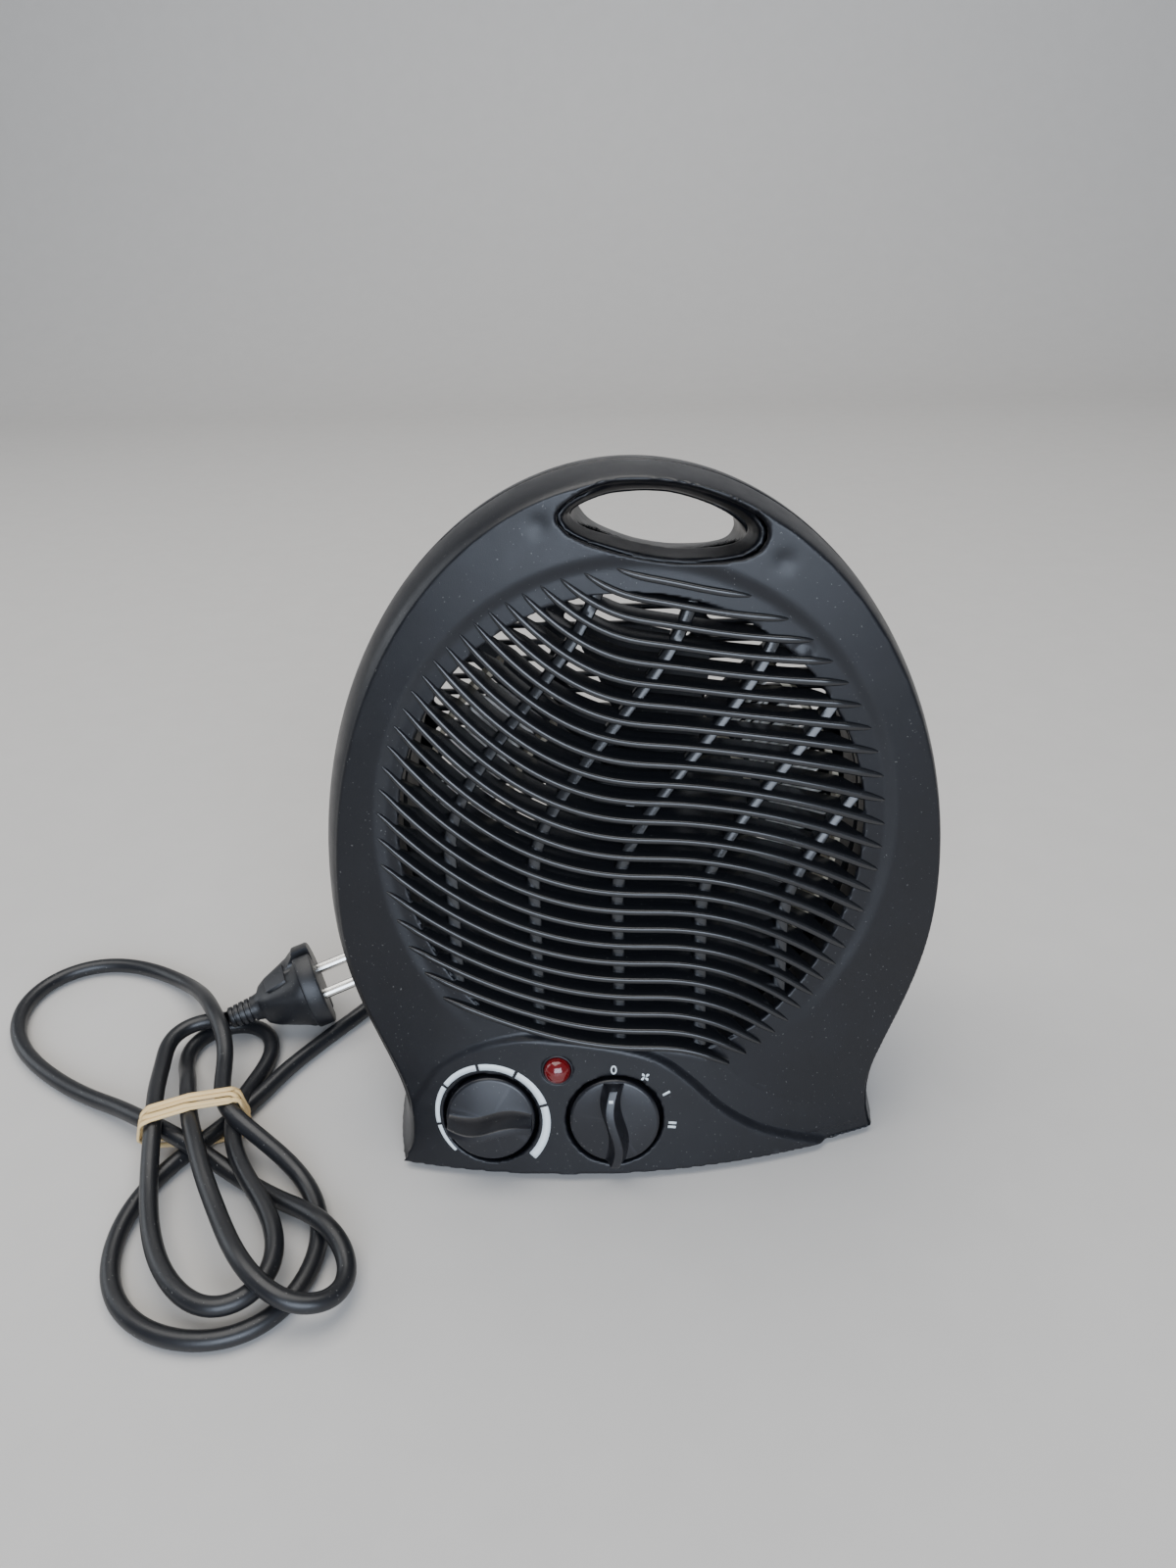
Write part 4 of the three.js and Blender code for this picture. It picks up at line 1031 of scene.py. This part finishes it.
def rubber_foot(number):
    low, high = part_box(f"rubber_foot_{number + 1}")
    x, y = (low[0] + high[0]) / 2 / MM, (low[1] + high[1]) / 2 / MM
    profile = [(0, 0.5), (3.6, 0.5), (4.2, 0.05), (6.1, 0.05), (6.75, 0.5), (6.9, 1.2), (6.8, 2.7),
               (2.5, 2.7), (2.5, 7), (0, 7)]
    obj = lathe(f"foot_{number + 1}", profile, 56)
    placed(obj, Matrix.Translation((x, y, 0)) @ Matrix.Rotation(pi / 2, 4, "X"))
    finish_piece(smooth_by_angle(obj, 40), "rubber", f"rubber_foot_{number + 1}")


def bushing():
    """Strain relief: a flange, then six soft ribs that taper towards the lead."""
    profile = [(0, -8.6), (6.8, -8.6), (6.8, -4), (4.9, -3.8), (4.9, -0.75), (7.3, -0.75), (7.4, -0.2),
               (7.4, 1.9), (6.9, 2.6)]
    for i in range(6):
        start, radius = 3.2 + 3.5 * i, 6.5 - 0.33 * i
        profile += [(radius - 0.9, start), (radius - 0.9, start + 0.9)]
        profile += [(radius, start + 1.15), (radius, start + 2.9)]
    profile += [(4.5, 24.8), (4.4, 27.2), (3.9, 27.9), (0, 27.9)]
    obj = lathe("lead_bushing", profile, 56)
    placed(obj, Matrix.Translation((BUSHING[0], BACK_Y, BUSHING[1])))
    return finish_piece(smooth_by_angle(obj, 30), "rubber", "cord_bushing")


# ---- the band round the hank ----
STRANDS, BAND_POINTS = 5, 110


def band():
    """Strands of rubber band drawn tight round the runs of lead that pass through the tie."""
    turn = Matrix.Rotation(-TIE_TURN, 2)
    points = lead_line()
    local = (points[:, :2] - np.array(TIE_AT)) @ np.array(turn).T
    near = (np.abs(local[:, 1]) < 5) & (np.abs(local[:, 0]) < 30)
    centres = np.stack([local[near, 0], points[near, 2]], 1)
    pieces = []
    for strand in range(STRANDS):
        path = []
        for angle in np.linspace(0, 2 * pi, 240, endpoint=False):
            toward = np.array([cos(angle), sin(angle)])
            far = centres[np.argmax(centres @ toward)]
            out = CORD_D / 2 + 0.95 + 0.55 * sin(3 * angle + 2.4 * strand)
            at = far + toward * out
            along = 1.75 * (strand - 2) + sin(2 * angle + 1.9 * strand)
            path.append((at[0], along, max(at[1], 0.75)))
        even = evenly(path + path[:1], BAND_POINTS)
        section = [(0.7 * a, 1.15 * b) for a, b in disc_section(1.0, 10)]
        pieces.append(sweep(even, section, closed=True, up=(0, 1, 0)))
    obj = joined("rubber_band", pieces)
    placed(obj, Matrix.Translation((*TIE_AT, 0)) @ Matrix.Rotation(TIE_TURN, 4, "Z"))
    return finish_piece(obj, "band", "cord_tie")


# ---- plug ----
def rounded_ring(y, half_x, half_z, power):
    """A ring between an ellipse, at power 2, and a rectangle."""
    ring = []
    for turn in np.linspace(0, 2 * pi, 72, endpoint=False):
        c, s = cos(turn), sin(turn)
        x = half_x * copysign(abs(c) ** (2 / power), c)
        z = half_z * copysign(abs(s) ** (2 / power), s)
        ring.append((x, y, z))
    return ring


def plug():
    """Two-pin contour plug: face plate, waisted grip with pads and notches, and a ribbed strain relief."""
    face = [(0, 34.3), (18.1, 34.3), (18.8, 34.8), (19, 35.6), (19, 41), (18.7, 41.7), (18, 42), (0, 42)]
    plate = lathe("contour_plug", face, 96)
    cover = [(11, 5.4, 5.4, 2), (14, 6.0, 6.0, 2.2), (15.5, 8.6, 7.2, 3), (19, 10.6, 8.6, 3.6),
             (25, 13.6, 10.2, 3.6), (30.5, 16.2, 12.4, 3.2), (33, 17.4, 15.4, 2.6), (35, 18.3, 18.1, 2)]
    boolean(plate, solid("cover", [rounded_ring(*row) for row in cover]), "UNION")
    for side in (-1, 1):
        slot_shape = []
        for y in (20, 60):
            turns = np.linspace(0, pi, 13)
            loop = [(2.5 * cos(t), y, side * (13.9 - 2.5 * sin(t))) for t in turns]
            slot_shape.append(loop + [(-2.5, y, side * 24), (2.5, y, side * 24)])
        boolean(plate, solid("notch", slot_shape), "DIFFERENCE")
        inner = ((-5, 19, 9.4), (5, 19, 9.4), (6.4, 29, 9.4), (-6.4, 29, 9.4))
        outer = ((-4.7, 19.4, 9.7), (4.7, 19.4, 9.7), (6.0, 28.6, 12.6), (-6.0, 28.6, 12.6))
        pad = [[(a, b, side * c) for a, b, c in corners] for corners in (inner, outer)]
        boolean(plate, solid("pad", pad), "UNION")
        boolean(plate, rod("pin_hole", 2.55, 36, 60, x=side * 9.5), "DIFFERENCE")
    profile = [(0, 0), (3.9, 0), (4.5, 0.5)]
    for i in range(5):
        start, radius = 0.6 + 2.5 * i, 4.75 + 0.22 * i
        profile += [(radius, start), (radius, start + 1.5), (radius - 0.75, start + 1.75),
                    (radius - 0.75, start + 2.4)]
    profile += [(5.7, 13.2), (5.7, 15), (0, 15)]
    boolean(plate, lathe("relief", profile, 64), "UNION")
    soften(plate, 0.3, 38)
    placed(plate, plug_frame())
    return finish_piece(smooth_by_angle(plate, 42), "plug_black", "plug_body")


# ---- the nodes that keep their CAD shape ----
KEPT = {
    "brass": ("thermostat_shaft", "switch_shaft", "bearing_front", "bearing_rear"),
    "steel": ("thermostat_nut", "switch_nut", "motor_shaft", "motor_bracket_front", "motor_bracket_rear",
              "thermal_cutout"),
    "nylon": ("thermostat_body", "switch_body", "thermal_fuse", "terminal_block", "cord_clamp"),
    "lamp_glass": ("neon_lamp",),
    "laminations": ("motor_rotor", "motor_stator"),
    "copper": ("motor_winding",),
    "fan_black": ("duct_ring",),
    "mica": ("mica_outer_left", "mica_outer_right", "mica_inner_left", "mica_inner_right"),
    "pin_nickel": ("plug_pin_1", "plug_pin_2"),
    "wire_insulation": ("wire_live", "wire_neutral"),
}


def dress_kept_nodes():
    """Materials and softened edges for the CAD nodes whose shape is right; their meshes stay as they are."""
    for material, nodes in KEPT.items():
        for node in nodes:
            obj = frame["nodes"][node]
            obj.data.materials.clear()
            obj.data.materials.append(MATERIALS[material])
            obj.data.polygons.foreach_set("use_smooth", [True] * len(obj.data.polygons))
            edge = obj.modifiers.new("edge", "BEVEL")
            edge.width, edge.segments, edge.limit_method = 0.35 * MM, 2, "ANGLE"
            edge.angle_limit = radians(40)
            normals = obj.modifiers.new("normals", "WEIGHTED_NORMAL")
            normals.keep_sharp = True


# ---- surroundings ----
def floor():
    """Pale floor that turns up into a pale backdrop."""
    near, wall, bend, high, half_wide = -3000.0, 1500.0, 700.0, 3500.0, 5000.0
    line = [(near, 0.0), (0.0, 0.0), (wall, 0.0)]
    line += [(wall + bend * sin(t), bend * (1 - cos(t))) for t in np.linspace(0.1, pi / 2, 16)]
    line.append((wall + bend, high))
    points = [(x, y, z) for y, z in line for x in (-half_wide, half_wide)]
    faces = [(2 * i, 2 * i + 1, 2 * i + 3, 2 * i + 2) for i in range(len(line) - 1)]
    obj = mesh_object("floor", points, faces)
    obj.data.materials.append(MATERIALS["floor_pale"])


# name, place and target in metres, size, power, colour
SOFTBOXES = (
    ("window", (0.35, -2.5, 1.15), (0, 0, 0.16), (2.6, 1.7), 112, (0.74, 0.84, 1.0)),
    ("overhead", (-0.2, 0.25, 1.9), (0, 0, 0.1), (2.2, 1.8), 44, (1.0, 0.98, 0.94)),
    ("side", (-2.0, 0.4, 0.9), (0, 0, 0.1), (1.2, 1.2), 10, (0.9, 0.95, 1.0)),
)
ROOM_COLOUR, ROOM_STRENGTH = (0.8, 0.85, 0.93, 1), 0.24


def softbox(name, at, towards, size, power, colour):
    data = bpy.data.lights.new(name, "AREA")
    data.shape = "RECTANGLE"
    data.size, data.size_y = size
    data.energy, data.color = power, colour
    obj = shown(name, data)
    obj.location = at
    obj.rotation_euler = (Vector(towards) - Vector(at)).to_track_quat("-Z", "Y").to_euler()


def lights():
    world = bpy.data.worlds.new("room")
    world.use_nodes = True
    background = world.node_tree.nodes["Background"]
    background.inputs["Color"].default_value = ROOM_COLOUR
    background.inputs["Strength"].default_value = ROOM_STRENGTH
    bpy.context.scene.world = world
    for row in SOFTBOXES:
        softbox(*row)


camera()
tie = band()
contour_plug = plug()
cord(bushing())
front_case()
rear_case()
grille()
knob("thermostat_dial_knob", THERMOSTAT, 0, "thermostat_knob", 11.2, -1.6)
knob("switch_dial_knob", SWITCH, pi / 2, "switch_knob", 10.2, 0)
marks()
pointer_mark()
lamp()
fan()
heating_wire(pi, "left")
heating_wire(0.0, "right")
for number in range(len(SCREWS)):
    case_screw(number)
for number in range(4):
    rubber_foot(number)
dress_kept_nodes()
floor()
lights()
